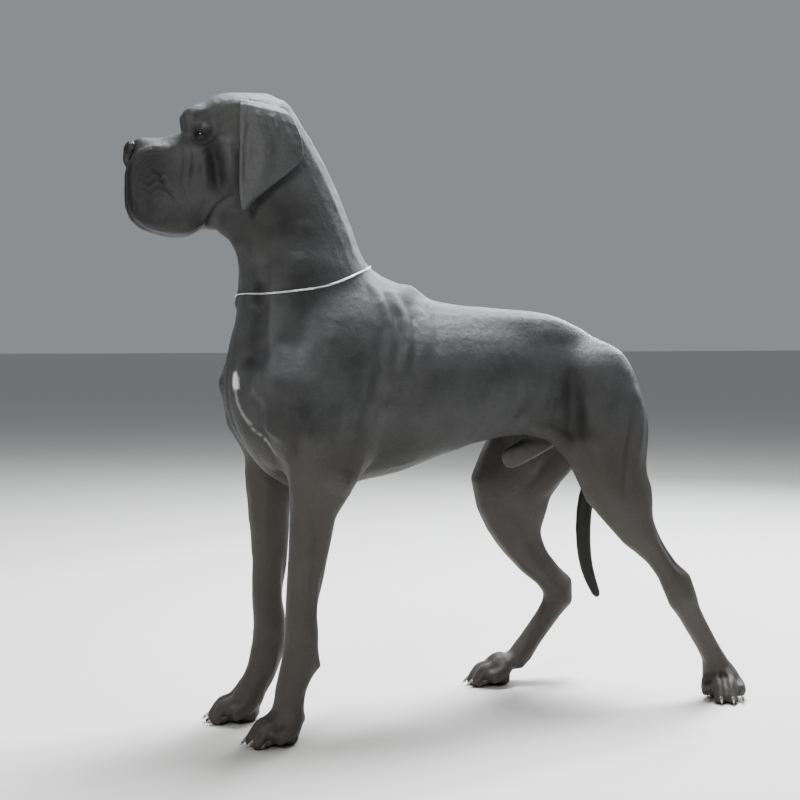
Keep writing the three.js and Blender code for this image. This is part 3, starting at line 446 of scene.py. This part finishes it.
# the openings between the lids, almond-shaped, where the skin turns in behind the lids' rims
lid_wide = math.radians(46)
lid_high = math.radians(21)
gaze_frames = {}
p = points_of(head_mesh)
for side, s, centre in (("left", -1, eye_left_at), ("right", 1, eye_right_at)):
    outward = (rear_head * -0.55 + across_head * (0.83 * s) + up_head * 0.05).normalized()
    backward = (rear_head - outward * rear_head.dot(outward)).normalized()
    upward = outward.cross(backward)
    upward = upward if upward.z > 0 else -upward
    gaze_frames[side] = (outward, backward, upward)
    rel = p - np.array(centre)
    reach = np.linalg.norm(rel, axis=1)
    ahead = rel @ np.array(outward)
    wide_turn = np.arctan2(rel @ np.array(backward), ahead)
    high_turn = np.arctan2(rel @ np.array(upward), ahead)
    apart = np.hypot(wide_turn / lid_wide, high_turn / lid_high)
    in_front = soft_step(ahead / reach, 0.25, 0.45) * (reach < 0.020)
    covered = np.maximum(reach, lid_radius - 0.0003)
    behind_lids = eye_radius - 0.00175
    opened = covered + (behind_lids - covered) * soft_step(apart, 1.65, 1.30)
    new_reach = reach + (opened - reach) * in_front
    p = np.array(centre) + rel * (new_reach / reach)[:, None]
put_points(head_mesh, p)

head_hide = trim(head_mesh, "head_hide", True, -0.0005, 190000)
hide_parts("head", "neck")
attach(head_hide, "root")

# The coat of both hides: short, dense, close-lying hair of slate blue, with a painted sky sheen that makes it
# paler along the back, browner on the legs, nearly black on the muzzle, with painted shade round the eyes, in
# the hollows, under the belly, below the ears and on the tail, and with a thin white blaze on the breast.
def new_material(name):
    material = bpy.data.materials.new(name)
    material.use_nodes = True
    nodes = material.node_tree.nodes
    return material, nodes, material.node_tree.links, nodes["Principled BSDF"]


def write_attribute(mesh, name, values):
    layer = mesh.attributes.new(name, "FLOAT", "POINT")
    layer.data.foreach_set("value", np.clip(values, 0, 1).astype(np.float32))


def coat_marks(piece):
    """Where the coat is pale, dark, brown, white, or lies downwards, painted sky sheen and painted shade
    included.
    """
    mesh = piece.data
    p = points_of(mesh)
    n = normals_of(mesh)
    b = to_body(p)
    height = b[:, 2]
    body_side, body_front = b[:, [0, 2]], b[:, 1:]
    head = to_head(p)
    u, v, w = head.T
    head_side = head[:, [0, 2]]
    on_head = soft_step(height, 960, 1010)

    def near(q, path, far, close):
        return soft_step(from_path(q, path)[0], far, close)

    # pale: a painted sky sheen on whatever faces the sky, the elbow's callus and the sheath
    back = soft_step(n[:, 2], -0.1, 0.85) * soft_step(height, 560, 760) * (1 - on_head * 0.6)
    elbow = near(np.abs(b), [(200, 148, 500), (186, 146, 486)], 30, 12)
    sheath = soft_step(b[:, 0], 224, 240) * soft_step(b[:, 0], 360, 330) * soft_step(np.abs(b[:, 1]), 46, 34)
    sheath *= soft_step(height, 590, 560) * soft_step(height, 470, 490)
    pale = back + elbow * 0.4 + sheath * 0.4

    # dark on the head: the muzzle and the edges of the lips, and painted shade under the lips, in the pocket
    # below the eye and round the deep-set eyes
    facing = -(n @ np.array(rear_head))
    lip_front = soft_step(facing, 0.30, 0.70) * soft_step(w, -42, -58) * soft_step(u, -40, -60)
    shade_under_lips = soft_step(n[:, 2], -0.05, -0.45) * soft_step(w, -110, -130) * soft_step(u, 60, 40)
    flew_edge = near(head_side, [(-92, -62), (-96, -110), (-80, -152), (-40, -174), (20, -182)], 15, 5) * 0.8
    pocket_shade = near(head_side, [(57, -10), (64, -50), (70, -82)], 30, 6) * soft_step(np.abs(v), 24, 36) * 0.75
    shade_round_eyes = soft_step(np.linalg.norm(np.column_stack([u, np.abs(v), w]) - [40, 44, 2], axis=1), 26, 12)
    face = [
        soft_step(u, 10, -60) * 0.55,
        soft_step(w, -120, -172) * soft_step(u, 70, 40) * 0.7,
        flew_edge,
        lip_front,
        shade_under_lips,
        pocket_shade,
        shade_round_eyes * 0.7,
    ]

    # dark on the body: painted shadow of the ear on the throat, painted shade in the hollows, under the belly
    # and on the tail, and the dark pads
    # painted shadow cast by the ear on the neck and throat
    ear_shadow_on_neck = near(body_side, [(-322, 975), (-280, 985), (-236, 975), (-262, 900)], 85, 10) * 0.55
    # painted shade in the pit of the flank and in the groove between neck and shoulder
    flank_pit_shade = near(body_side, [(352, 700), (354, 640), (362, 580)], 24, 6)
    neck_groove_shade = near(body_side, [(-324, 870), (-338, 790), (-342, 730)], 26, 2) * 1.5
    shade_in_hollows = np.maximum(flank_pit_shade, neck_groove_shade) * soft_step(np.abs(b[:, 1]), 34, 60) * 0.5
    # painted shade on the underside of the chest and belly, where the surface faces down
    shade_under_belly = soft_step(n[:, 2], -0.15, -0.75) * soft_step(height, 470, 520) * soft_step(height, 760, 700) * 0.6
    # painted shade on the tail, which hangs between the thighs, growing deeper below its root
    tail_low, tail_high = (np.array(corner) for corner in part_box("tail"))
    tail = np.all((p > tail_low - 0.006) & (p < tail_high + [0.006, 0.006, -0.03]), axis=1)
    tail = tail * soft_step(p[:, 2], tail_high[2] - 0.03, tail_high[2] - 0.17) * 0.9
    pads = soft_step(height, 10, 4) * soft_step(n[:, 2], -0.2, -0.6)
    dark = np.maximum.reduce([on_head * mark for mark in face] + [ear_shadow_on_neck, shade_in_hollows, shade_under_belly, tail, pads])

    # the blaze: a small patch on the breast and a thin line that runs down from it
    patch = near(body_front, [(-31, 702), (-34, 682)], 10, 5)
    down_breast = [(-34, 682), (-37, 652), (-44, 625), (-53, 598), (-68, 576), (-76, 551)]
    line = near(body_front, down_breast, 4, 1) * 0.28
    write_attribute(mesh, "pale", pale)
    write_attribute(mesh, "dark", dark)
    write_attribute(mesh, "low", np.maximum(soft_step(height, 640, 460), sheath))
    write_attribute(mesh, "blaze", np.maximum(patch, line) * soft_step(b[:, 0], -260, -290))
    write_attribute(mesh, "down", np.maximum(soft_step(height, 560, 440), soft_step(height, 700, 900)))


coat_marks(body_hide)
coat_marks(head_hide)


def nap_group():
    """Short hair as height: streaks along the body or down the legs, and the skin's slight unevenness."""
    group = bpy.data.node_groups.new("short nap", "ShaderNodeTree")
    group.interface.new_socket("Down", in_out="INPUT", socket_type="NodeSocketFloat")
    group.interface.new_socket("Height", in_out="OUTPUT", socket_type="NodeSocketFloat")
    group.interface.new_socket("Streak", in_out="OUTPUT", socket_type="NodeSocketFloat")
    nodes, links = group.nodes, group.links
    entry = nodes.new("NodeGroupInput")
    leave = nodes.new("NodeGroupOutput")
    place = nodes.new("ShaderNodeTexCoord")
    streaks = []
    for scale in ((220, 900, 900), (900, 900, 200)):
        stretch = nodes.new("ShaderNodeMapping")
        stretch.inputs["Scale"].default_value = scale
        links.new(place.outputs["Object"], stretch.inputs["Vector"])
        hair = nodes.new("ShaderNodeTexNoise")
        hair.inputs["Scale"].default_value = 1.0
        hair.inputs["Detail"].default_value = 3.0
        links.new(stretch.outputs["Vector"], hair.inputs["Vector"])
        streaks.append(hair)
    lie = nodes.new("ShaderNodeMix")
    lie.data_type = "FLOAT"
    links.new(entry.outputs["Down"], lie.inputs[0])
    links.new(streaks[0].outputs["Fac"], lie.inputs[2])
    links.new(streaks[1].outputs["Fac"], lie.inputs[3])
    uneven = nodes.new("ShaderNodeTexNoise")
    uneven.inputs["Scale"].default_value = 70.0
    uneven.inputs["Detail"].default_value = 4.0
    links.new(place.outputs["Object"], uneven.inputs["Vector"])
    weigh = nodes.new("ShaderNodeMath")
    weigh.operation = "MULTIPLY_ADD"
    weigh.inputs[1].default_value = 2.2
    links.new(uneven.outputs["Fac"], weigh.inputs[0])
    links.new(lie.outputs[0], weigh.inputs[2])
    links.new(weigh.outputs[0], leave.inputs["Height"])
    links.new(lie.outputs[0], leave.inputs["Streak"])
    return group


nap = nap_group()


def coat_material(name):
    material, nodes, links, shader = new_material(name)
    marks = {}
    for key in ("pale", "dark", "low", "blaze", "down"):
        marks[key] = nodes.new("ShaderNodeAttribute")
        marks[key].attribute_name = key
    hair = nodes.new("ShaderNodeGroup")
    hair.node_tree = nap
    links.new(marks["down"].outputs["Fac"], hair.inputs["Down"])

    def mixed(below, above, factor):
        mix = nodes.new("ShaderNodeMix")
        mix.data_type = "RGBA"
        for socket, value in ((mix.inputs[6], below), (mix.inputs[7], above)):
            if isinstance(value, tuple):
                socket.default_value = (*value, 1)
            else:
                links.new(value, socket)
        links.new(factor, mix.inputs[0])
        return mix.outputs[2]

    place = nodes.new("ShaderNodeTexCoord")
    clouds = nodes.new("ShaderNodeTexNoise")
    clouds.inputs["Scale"].default_value = 9.0
    clouds.inputs["Detail"].default_value = 6.0
    clouds.inputs["Roughness"].default_value = 0.6
    links.new(place.outputs["Object"], clouds.inputs["Vector"])
    patches = nodes.new("ShaderNodeMapRange")
    patches.inputs["From Min"].default_value = 0.34
    patches.inputs["From Max"].default_value = 0.66
    links.new(clouds.outputs["Fac"], patches.inputs["Value"])
    color = mixed((0.034, 0.034, 0.0345), (0.070, 0.070, 0.0705), patches.outputs[0])
    brown = nodes.new("ShaderNodeMath")
    brown.operation = "MULTIPLY"
    brown.inputs[1].default_value = 0.7
    links.new(marks["low"].outputs["Fac"], brown.inputs[0])
    color = mixed(color, (0.066, 0.058, 0.050), brown.outputs[0])
    # The pale mark mixes in a painted sky sheen, flecked by the hair's streaks, and the pale callus and
    # sheath.
    painted_sheen_and_pale_skin = nodes.new("ShaderNodeMath")
    painted_sheen_and_pale_skin.operation = "MULTIPLY"
    links.new(marks["pale"].outputs["Fac"], painted_sheen_and_pale_skin.inputs[0])
    fleck = nodes.new("ShaderNodeMapRange")
    fleck.inputs["From Min"].default_value = 0.35
    fleck.inputs["From Max"].default_value = 0.65
    fleck.inputs["To Min"].default_value = 0.6
    fleck.inputs["To Max"].default_value = 1.0
    links.new(hair.outputs["Streak"], fleck.inputs["Value"])
    links.new(fleck.outputs[0], painted_sheen_and_pale_skin.inputs[1])
    color = mixed(color, (0.092, 0.095, 0.100), painted_sheen_and_pale_skin.outputs[0])
    # The dark mark holds the coat's own dark colour together with the painted shade and shadow.
    color = mixed(color, (0.014, 0.0135, 0.0135), marks["dark"].outputs["Fac"])
    color = mixed(color, (0.62, 0.61, 0.59), marks["blaze"].outputs["Fac"])
    shade = nodes.new("ShaderNodeMapRange")
    shade.inputs["To Min"].default_value = 0.55
    shade.inputs["To Max"].default_value = 1.45
    links.new(hair.outputs["Streak"], shade.inputs["Value"])
    streaked = nodes.new("ShaderNodeVectorMath")
    streaked.operation = "SCALE"
    links.new(color, streaked.inputs[0])
    links.new(shade.outputs[0], streaked.inputs["Scale"])
    links.new(streaked.outputs[0], shader.inputs["Base Color"])
    gloss = nodes.new("ShaderNodeMapRange")
    gloss.inputs["To Min"].default_value = 0.46
    gloss.inputs["To Max"].default_value = 0.62
    links.new(hair.outputs["Streak"], gloss.inputs["Value"])
    links.new(gloss.outputs[0], shader.inputs["Roughness"])
    bump = nodes.new("ShaderNodeBump")
    bump.inputs["Strength"].default_value = 0.6
    bump.inputs["Distance"].default_value = 0.0015
    links.new(hair.outputs["Height"], bump.inputs["Height"])
    links.new(bump.outputs["Normal"], shader.inputs["Normal"])
    shader.inputs["Specular IOR Level"].default_value = 0.36
    shader.inputs["Sheen Weight"].default_value = 0.04
    shader.inputs["Sheen Roughness"].default_value = 0.4
    shader.inputs["Sheen Tint"].default_value = (0.9, 0.94, 1.0, 1)
    return material


coat = coat_material("slate coat")
for hide in (body_hide, head_hide):
    hide.data.materials.clear()
    hide.data.materials.append(coat)

# The ears: natural, triangular and hanging, of thin skin with velvety hair, grown on to the top of the
# skull. The front edge is rolled, and the skin puckers where it leaves the skull.
for side, s in (("left", -1), ("right", 1)):
    ear_mesh = hide_over(["ear_" + side], "ear_" + side + "_leaf", 0.0014, swell=0.0)
    relax(ear_mesh, 26, None, 0.6, 0.85)
    e = to_head(points_of(ear_mesh))
    beside = e[:, [0, 2]]
    outside = soft_step(normals_of(ear_mesh) @ np.array(across_head) * s, -0.2, 0.3)
    push = stroke(beside, [(116, 56), (117, 20), (113, -24), (112, -70), (114, -118)], 3.4, -2.0, outside)
    push += stroke(beside, [(124, 50), (125, 16), (120, -30), (119, -70), (119, -104)], 5, 2.2, outside)
    push += stroke(beside, [(150, 48), (160, 26), (164, 0)], 8, 1.6, outside)
    push += stroke(beside, [(138, 50), (142, 24), (140, -4)], 8, -1.4, outside)
    push += stroke(beside, [(176, 40), (186, 20), (192, -2)], 8, 1.7, outside)
    push += stroke(beside, [(166, 44), (176, 22), (180, -6)], 8, -1.5, outside)
    push += stroke(beside, [(198, 30), (212, 8), (222, -14)], 8, 1.6, outside)
    push += stroke(beside, [(156, 10), (154, -50), (136, -100)], 15, -4.5, outside)
    push += stroke(beside, [(176, 20), (180, -30), (170, -70)], 15, 4.5, outside)
    push += stroke(beside, [(132, 40), (134, -20), (128, -70)], 10, 3.0, outside)
    push += stroke(beside, [(226, -38), (200, -62), (164, -92), (128, -122)], 3, -1.4, outside)
    put_points(ear_mesh, points_of(ear_mesh) - normals_of(ear_mesh) * (push / 1000)[:, None])
    relax(ear_mesh, 1)
    ear_mesh.shade_smooth()
    ear = bpy.data.objects.new("ear_" + side + "_leaf", ear_mesh)
    bpy.context.scene.collection.objects.link(ear)
    # The whole leaf gets the pale mark's painted sky sheen, with a painted highlight along its rolled front
    # edge.
    front_edge = [(113, 60), (114, 10), (109, -28), (108, -100), (113, -140)]
    edge = soft_step(from_path(to_head(points_of(ear_mesh))[:, [0, 2]], front_edge)[0], 7, 2)
    write_attribute(ear_mesh, "pale", 0.65 + 0.35 * edge)
    write_attribute(ear_mesh, "dark", 0.35 * (1 - outside))
    write_attribute(ear_mesh, "low", 0.35 * np.ones(len(edge)))
    write_attribute(ear_mesh, "blaze", np.zeros(len(edge)))
    write_attribute(ear_mesh, "down", np.ones(len(edge)))
    ear_mesh.materials.clear()
    ear_mesh.materials.append(coat)
    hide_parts("ear_" + side)
    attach(ear, "root")

# The nose leather: black, moist, pebbled skin at the end of the muzzle, broad and square in front, with a
# comma-shaped nostril on each side and a groove down the middle.
nose_mesh = hide_over(["nose"], "nose_leather", 0.0009, swell=0.0003)
relax(nose_mesh, 8)
n_at = to_head(points_of(nose_mesh))
push = stroke(np.abs(n_at[:, 1:]), [(0, -20), (0, -44), (0, -60)], 2.2, 1.6, soft_step(n_at[:, 0], -84, -92))
push += stroke(np.abs(n_at[:, 1:]), [(23, -30), (28, -34)], 4, 2.0)
put_points(nose_mesh, points_of(nose_mesh) - normals_of(nose_mesh) * (push / 1000)[:, None])
nose_mesh.shade_smooth()
nose = bpy.data.objects.new("nose_leather", nose_mesh)
bpy.context.scene.collection.objects.link(nose)
leather, nodes, links, shader = new_material("nose leather")
place = nodes.new("ShaderNodeTexCoord")
pebbles = nodes.new("ShaderNodeTexVoronoi")
pebbles.inputs["Scale"].default_value = 620.0
links.new(place.outputs["Object"], pebbles.inputs["Vector"])
tone = nodes.new("ShaderNodeValToRGB")
tone.color_ramp.elements[0].color = (0.034, 0.033, 0.034, 1)
tone.color_ramp.elements[1].color = (0.007, 0.007, 0.008, 1)
links.new(pebbles.outputs["Distance"], tone.inputs["Fac"])
links.new(tone.outputs["Color"], shader.inputs["Base Color"])
pebble_bump = nodes.new("ShaderNodeBump")
pebble_bump.invert = True
pebble_bump.inputs["Strength"].default_value = 0.6
pebble_bump.inputs["Distance"].default_value = 0.0006
links.new(pebbles.outputs["Distance"], pebble_bump.inputs["Height"])
links.new(pebble_bump.outputs["Normal"], shader.inputs["Normal"])
shader.inputs["Roughness"].default_value = 0.46
shader.inputs["Specular IOR Level"].default_value = 0.4
nose_mesh.materials.clear()
nose_mesh.materials.append(leather)
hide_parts("nose")
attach(nose, "root")

# The eyes: dark brown, medium sized, and set deep below the brow. Each is a wet ball with a bulging front,
# held by an upper and a lower lid whose dark rims grow out of the hide.
iris_material, nodes, links, shader = new_material("eye")
gaze_mark = nodes.new("ShaderNodeAttribute")
gaze_mark.attribute_name = "from_pupil"
rings = nodes.new("ShaderNodeValToRGB")
rings.color_ramp.elements[0].position = 0.0
rings.color_ramp.elements[0].color = (0.002, 0.002, 0.002, 1)
rings.color_ramp.elements[1].position = 1.0
rings.color_ramp.elements[1].color = (0.06, 0.045, 0.040, 1)
for position, color in (
    (0.17, (0.002, 0.002, 0.002)),
    (0.20, (0.022, 0.011, 0.006)),
    (0.40, (0.015, 0.008, 0.005)),
    (0.44, (0.004, 0.003, 0.003)),
    (0.50, (0.05, 0.040, 0.035)),
):
    rings.color_ramp.elements.new(position).color = (*color, 1)
links.new(gaze_mark.outputs["Fac"], rings.inputs["Fac"])
place = nodes.new("ShaderNodeTexCoord")
threads = nodes.new("ShaderNodeTexNoise")
threads.inputs["Scale"].default_value = 900.0
links.new(place.outputs["Object"], threads.inputs["Vector"])
thread_shade = nodes.new("ShaderNodeMapRange")
thread_shade.inputs["To Min"].default_value = 0.7
thread_shade.inputs["To Max"].default_value = 1.3
links.new(threads.outputs["Fac"], thread_shade.inputs["Value"])
threaded = nodes.new("ShaderNodeVectorMath")
threaded.operation = "SCALE"
links.new(rings.outputs["Color"], threaded.inputs[0])
links.new(thread_shade.outputs[0], threaded.inputs["Scale"])
links.new(threaded.outputs[0], shader.inputs["Base Color"])
shader.inputs["Roughness"].default_value = 0.08
shader.inputs["Coat Weight"].default_value = 0.6
shader.inputs["Coat Roughness"].default_value = 0.03

for side, s, centre in (("left", -1, eye_left_at), ("right", 1, eye_right_at)):
    outward, backward, upward = gaze_frames[side]
    gaze = (rear_head * -0.66 + across_head * (0.75 * s)).normalized()
    ball = bmesh.new()
    bmesh.ops.create_uvsphere(ball, u_segments=64, v_segments=48, radius=eye_radius)
    swing = Vector((0, 0, 1)).rotation_difference(gaze).to_matrix().to_4x4()
    for vert in ball.verts:
        vert.co.z += 0.0006 * max(0.0, vert.co.z / 0.012 - 0.8) / 0.2
    bmesh.ops.transform(ball, matrix=Matrix.Translation(centre) @ swing, verts=ball.verts)
    ball_mesh = bpy.data.meshes.new("eyeball_" + side)
    ball.to_mesh(ball_mesh)
    ball.free()
    ball_mesh.shade_smooth()
    looks = points_of(ball_mesh) - np.array(centre)
    angle = np.arccos(np.clip(looks @ np.array(gaze) / np.linalg.norm(looks, axis=1), -1, 1))
    write_attribute(ball_mesh, "from_pupil", angle / (math.pi / 2))
    eyeball = bpy.data.objects.new("eyeball_" + side, ball_mesh)
    bpy.context.scene.collection.objects.link(eyeball)
    ball_mesh.materials.append(iris_material)
    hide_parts("eye_" + side)
    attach(eyeball, "root")

    lids = bmesh.new()
    bmesh.ops.create_grid(lids, x_segments=96, y_segments=16, size=1.0)
    for vert in lids.verts:
        turn = (vert.co.x + 1) * math.pi
        out = (vert.co.y + 1) / 2
        across, along = math.sin(turn), math.cos(turn)
        high = lid_high if across > 0 else lid_high - math.radians(1)
        opening = 1 / math.hypot(along / lid_wide, across / high) * (1 - 0.08 * abs(across * along) ** 0.5)
        rim, skin = min(1.0, out / 0.14), max(0.0, out - 0.14) / 0.86
        tilt = opening + math.radians(24) * skin
        rise = 0.0116 + 0.0019 * math.sin(math.pi / 2 * rim) + 0.0010 * skin
        ray = outward * math.cos(tilt) + (backward * along + upward * across) * math.sin(tilt)
        vert.co = centre + ray * rise
    bmesh.ops.remove_doubles(lids, verts=lids.verts, dist=1e-6)
    bmesh.ops.recalc_face_normals(lids, faces=lids.faces)
    lid_mesh = bpy.data.meshes.new("eyelids_" + side)
    lids.to_mesh(lid_mesh)
    lids.free()
    lid_mesh.shade_smooth()
    reach = np.linalg.norm(points_of(lid_mesh) - np.array(centre), axis=1)
    looks = (points_of(lid_mesh) - np.array(centre)) / reach[:, None]
    across = looks @ np.array(backward) / math.sin(lid_wide)
    flatness = np.hypot(across, looks @ np.array(upward) / math.sin(lid_high))
    write_attribute(lid_mesh, "dark", 0.35 + 0.65 * soft_step(flatness, 1.4, 1.1))
    for key, value in (("pale", 0.0), ("low", 0.2), ("blaze", 0.0), ("down", 1.0)):
        write_attribute(lid_mesh, key, np.full(len(reach), value))
    eyelids = bpy.data.objects.new("eyelids_" + side, lid_mesh)
    bpy.context.scene.collection.objects.link(eyelids)
    lid_mesh.materials.append(coat)
    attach(eyelids, "root")

# The claws: blunt, curved horn that grows out of the end of each toe, dark on most toes and pale on a few.
# The solid claws are kept, and only rounded.
def horn_material(name, root, tip):
    material, nodes, links, shader = new_material(name)
    place = nodes.new("ShaderNodeTexCoord")
    stretch = nodes.new("ShaderNodeMapping")
    stretch.inputs["Scale"].default_value = (60, 60, 400)
    links.new(place.outputs["Object"], stretch.inputs["Vector"])
    grain = nodes.new("ShaderNodeTexNoise")
    grain.inputs["Scale"].default_value = 1.0
    links.new(stretch.outputs["Vector"], grain.inputs["Vector"])
    ramp = nodes.new("ShaderNodeValToRGB")
    ramp.color_ramp.elements[0].color = (*root, 1)
    ramp.color_ramp.elements[1].color = (*tip, 1)
    links.new(grain.outputs["Fac"], ramp.inputs["Fac"])
    links.new(ramp.outputs["Color"], shader.inputs["Base Color"])
    bump = nodes.new("ShaderNodeBump")
    bump.inputs["Strength"].default_value = 0.3
    bump.inputs["Distance"].default_value = 0.0003
    links.new(grain.outputs["Fac"], bump.inputs["Height"])
    links.new(bump.outputs["Normal"], shader.inputs["Normal"])
    shader.inputs["Roughness"].default_value = 0.35
    return material


pale_horn = horn_material("pale horn", (0.20, 0.17, 0.14), (0.50, 0.46, 0.40))
dark_horn = horn_material("dark horn", (0.03, 0.027, 0.025), (0.12, 0.10, 0.085))
pale_claws = ["hindclaw_left_2", "hindclaw_left_3", "foreclaw_left_2", "foreclaw_left_4"]
pale_claws += ["foreclaw_right_3", "hindclaw_right_2"]
for name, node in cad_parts.items():
    if "claw" not in name:
        continue
    smooth = node.modifiers.new("rounded", "SUBSURF")
    smooth.levels = 2
    smooth.render_levels = 2
    node.material_slots[0].material = pale_horn if name in pale_claws else dark_horn

# The collar: a light chain of polished steel wire, its small oval links leaning left and right by turns. It
# lies loose round the base of the neck, over the seam between the two hides.
ring_angles = np.arctan2(
    (collar_points - collar_centre) @ np.cross(collar_plane, [1.0, 0, 0]),
    (collar_points - collar_centre) @ np.cross(np.cross(collar_plane, [1.0, 0, 0]), collar_plane),
)
bins = 90
loop = []
for k in range(bins):
    middle = -math.pi + 2 * math.pi * (k + 0.5) / bins
    away = np.abs(np.angle(np.exp(1j * (ring_angles - middle))))
    weight = np.exp(-((away / 0.06) ** 2))
    loop.append((collar_points * weight[:, None]).sum(axis=0) / weight.sum())
loop = np.array(loop)
lengths = np.linalg.norm(np.roll(loop, -1, axis=0) - loop, axis=1)
travelled = np.concatenate([[0], np.cumsum(lengths)])
link_pitch = 0.0052
link_count = int(round(travelled[-1] / link_pitch / 2)) * 2
chain = bmesh.new()
closed = np.vstack([loop, loop[:1]])


def on_loop(distance):
    distance = distance % travelled[-1]
    return Vector([float(np.interp(distance, travelled, closed[:, k])) for k in range(3)])


def add_ring(target, matrix, radius, wire, stretch, segments, sides):
    """An oval of round wire, spun from one circle."""
    before = len(target.verts)
    made = bmesh.ops.create_circle(target, segments=sides, radius=wire)
    geom = made["verts"] + list({e for v in made["verts"] for e in v.link_edges})
    bmesh.ops.rotate(target, verts=made["verts"], cent=(0, 0, 0), matrix=Matrix.Rotation(math.pi / 2, 3, "X"))
    bmesh.ops.translate(target, verts=made["verts"], vec=(radius, 0, 0))
    turn = {"cent": (0, 0, 0), "axis": (0, 0, 1), "angle": 2 * math.pi}
    bmesh.ops.spin(target, geom=geom, steps=segments, use_merge=True, **turn)
    target.verts.ensure_lookup_table()
    fresh = target.verts[before:]
    for vert in fresh:
        vert.co.y += math.copysign(stretch / 2, vert.co.y) if abs(vert.co.y) > 1e-6 else 0
    bmesh.ops.transform(target, matrix=matrix, verts=fresh)


for k in range(link_count):
    distance = travelled[-1] * k / link_count
    here = on_loop(distance)
    ahead = (on_loop(distance + 0.002) - on_loop(distance - 0.002)).normalized()
    outward = (here - Vector(collar_centre)).normalized()
    sidewise = ahead.cross(outward).normalized()
    outward = sidewise.cross(ahead).normalized()
    lean = math.radians(45 if k % 2 else -45)
    flat = (sidewise * math.cos(lean) + outward * math.sin(lean)).normalized()
    place = Matrix((flat, ahead, flat.cross(ahead))).transposed().to_4x4()
    place.translation = here
    add_ring(chain, place, 0.0017, 0.00062, 0.0032, 12, 6)
bmesh.ops.recalc_face_normals(chain, faces=chain.faces)
chain_mesh = bpy.data.meshes.new("collar_chain")
chain.to_mesh(chain_mesh)
chain.free()
chain_mesh.shade_smooth()
collar_chain = bpy.data.objects.new("collar_chain", chain_mesh)
bpy.context.scene.collection.objects.link(collar_chain)
steel, nodes, links, shader = new_material("polished steel")
place = nodes.new("ShaderNodeTexCoord")
scuffs = nodes.new("ShaderNodeTexNoise")
scuffs.inputs["Scale"].default_value = 400.0
links.new(place.outputs["Object"], scuffs.inputs["Vector"])
dull = nodes.new("ShaderNodeMapRange")
dull.inputs["To Min"].default_value = 0.12
dull.inputs["To Max"].default_value = 0.34
links.new(scuffs.outputs["Fac"], dull.inputs["Value"])
links.new(dull.outputs[0], shader.inputs["Roughness"])
shader.inputs["Base Color"].default_value = (0.78, 0.79, 0.81, 1)
shader.inputs["Metallic"].default_value = 1.0
chain_mesh.materials.append(steel)
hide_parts("collar")
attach(collar_chain, "root")

# The stage: a plain pale floor, and soft light like an overcast sky with a large window to the front left.
floor = bmesh.new()
bmesh.ops.create_grid(floor, x_segments=2, y_segments=2, size=80)
bmesh.ops.translate(floor, verts=floor.verts, vec=(0, 0, -0.0005))
floor_mesh = bpy.data.meshes.new("floor")
floor.to_mesh(floor_mesh)
floor.free()
floor_piece = bpy.data.objects.new("floor", floor_mesh)
bpy.context.scene.collection.objects.link(floor_piece)
floor_material, nodes, links, shader = new_material("pale floor")
shader.inputs["Base Color"].default_value = (0.62, 0.61, 0.59, 1)
shader.inputs["Roughness"].default_value = 0.85
floor_mesh.materials.append(floor_material)

world = bpy.data.worlds.new("soft sky")
bpy.context.scene.world = world
world.use_nodes = True
world.node_tree.nodes["Background"].inputs["Color"].default_value = (0.84, 0.88, 0.93, 1)
world.node_tree.nodes["Background"].inputs["Strength"].default_value = 0.30


def soft_light(name, place, aim, size, power, color):
    data = bpy.data.lights.new(name, "AREA")
    data.shape = "DISK"
    data.size = size
    data.energy = power
    data.color = color
    lamp = bpy.data.objects.new(name, data)
    bpy.context.scene.collection.objects.link(lamp)
    lamp.location = place
    lamp.rotation_euler = (Vector(aim) - Vector(place)).to_track_quat("-Z", "Y").to_euler()


soft_light("sky panel", (1.0, 0.9, 4.4), (0.1, 0.0, 0.7), 2.3, 500, (0.95, 0.98, 1.0))
soft_light("window", (-3.4, -3.2, 3.0), (-0.1, 0.0, 0.7), 1.8, 125, (1.0, 0.98, 0.94))
soft_light("rear panel", (3.2, 2.2, 2.6), (0.1, 0.0, 0.7), 2.0, 150, (0.93, 0.96, 1.0))

bpy.context.scene.view_settings.view_transform = "AgX"
bpy.context.scene.view_settings.look = "AgX - Medium High Contrast"
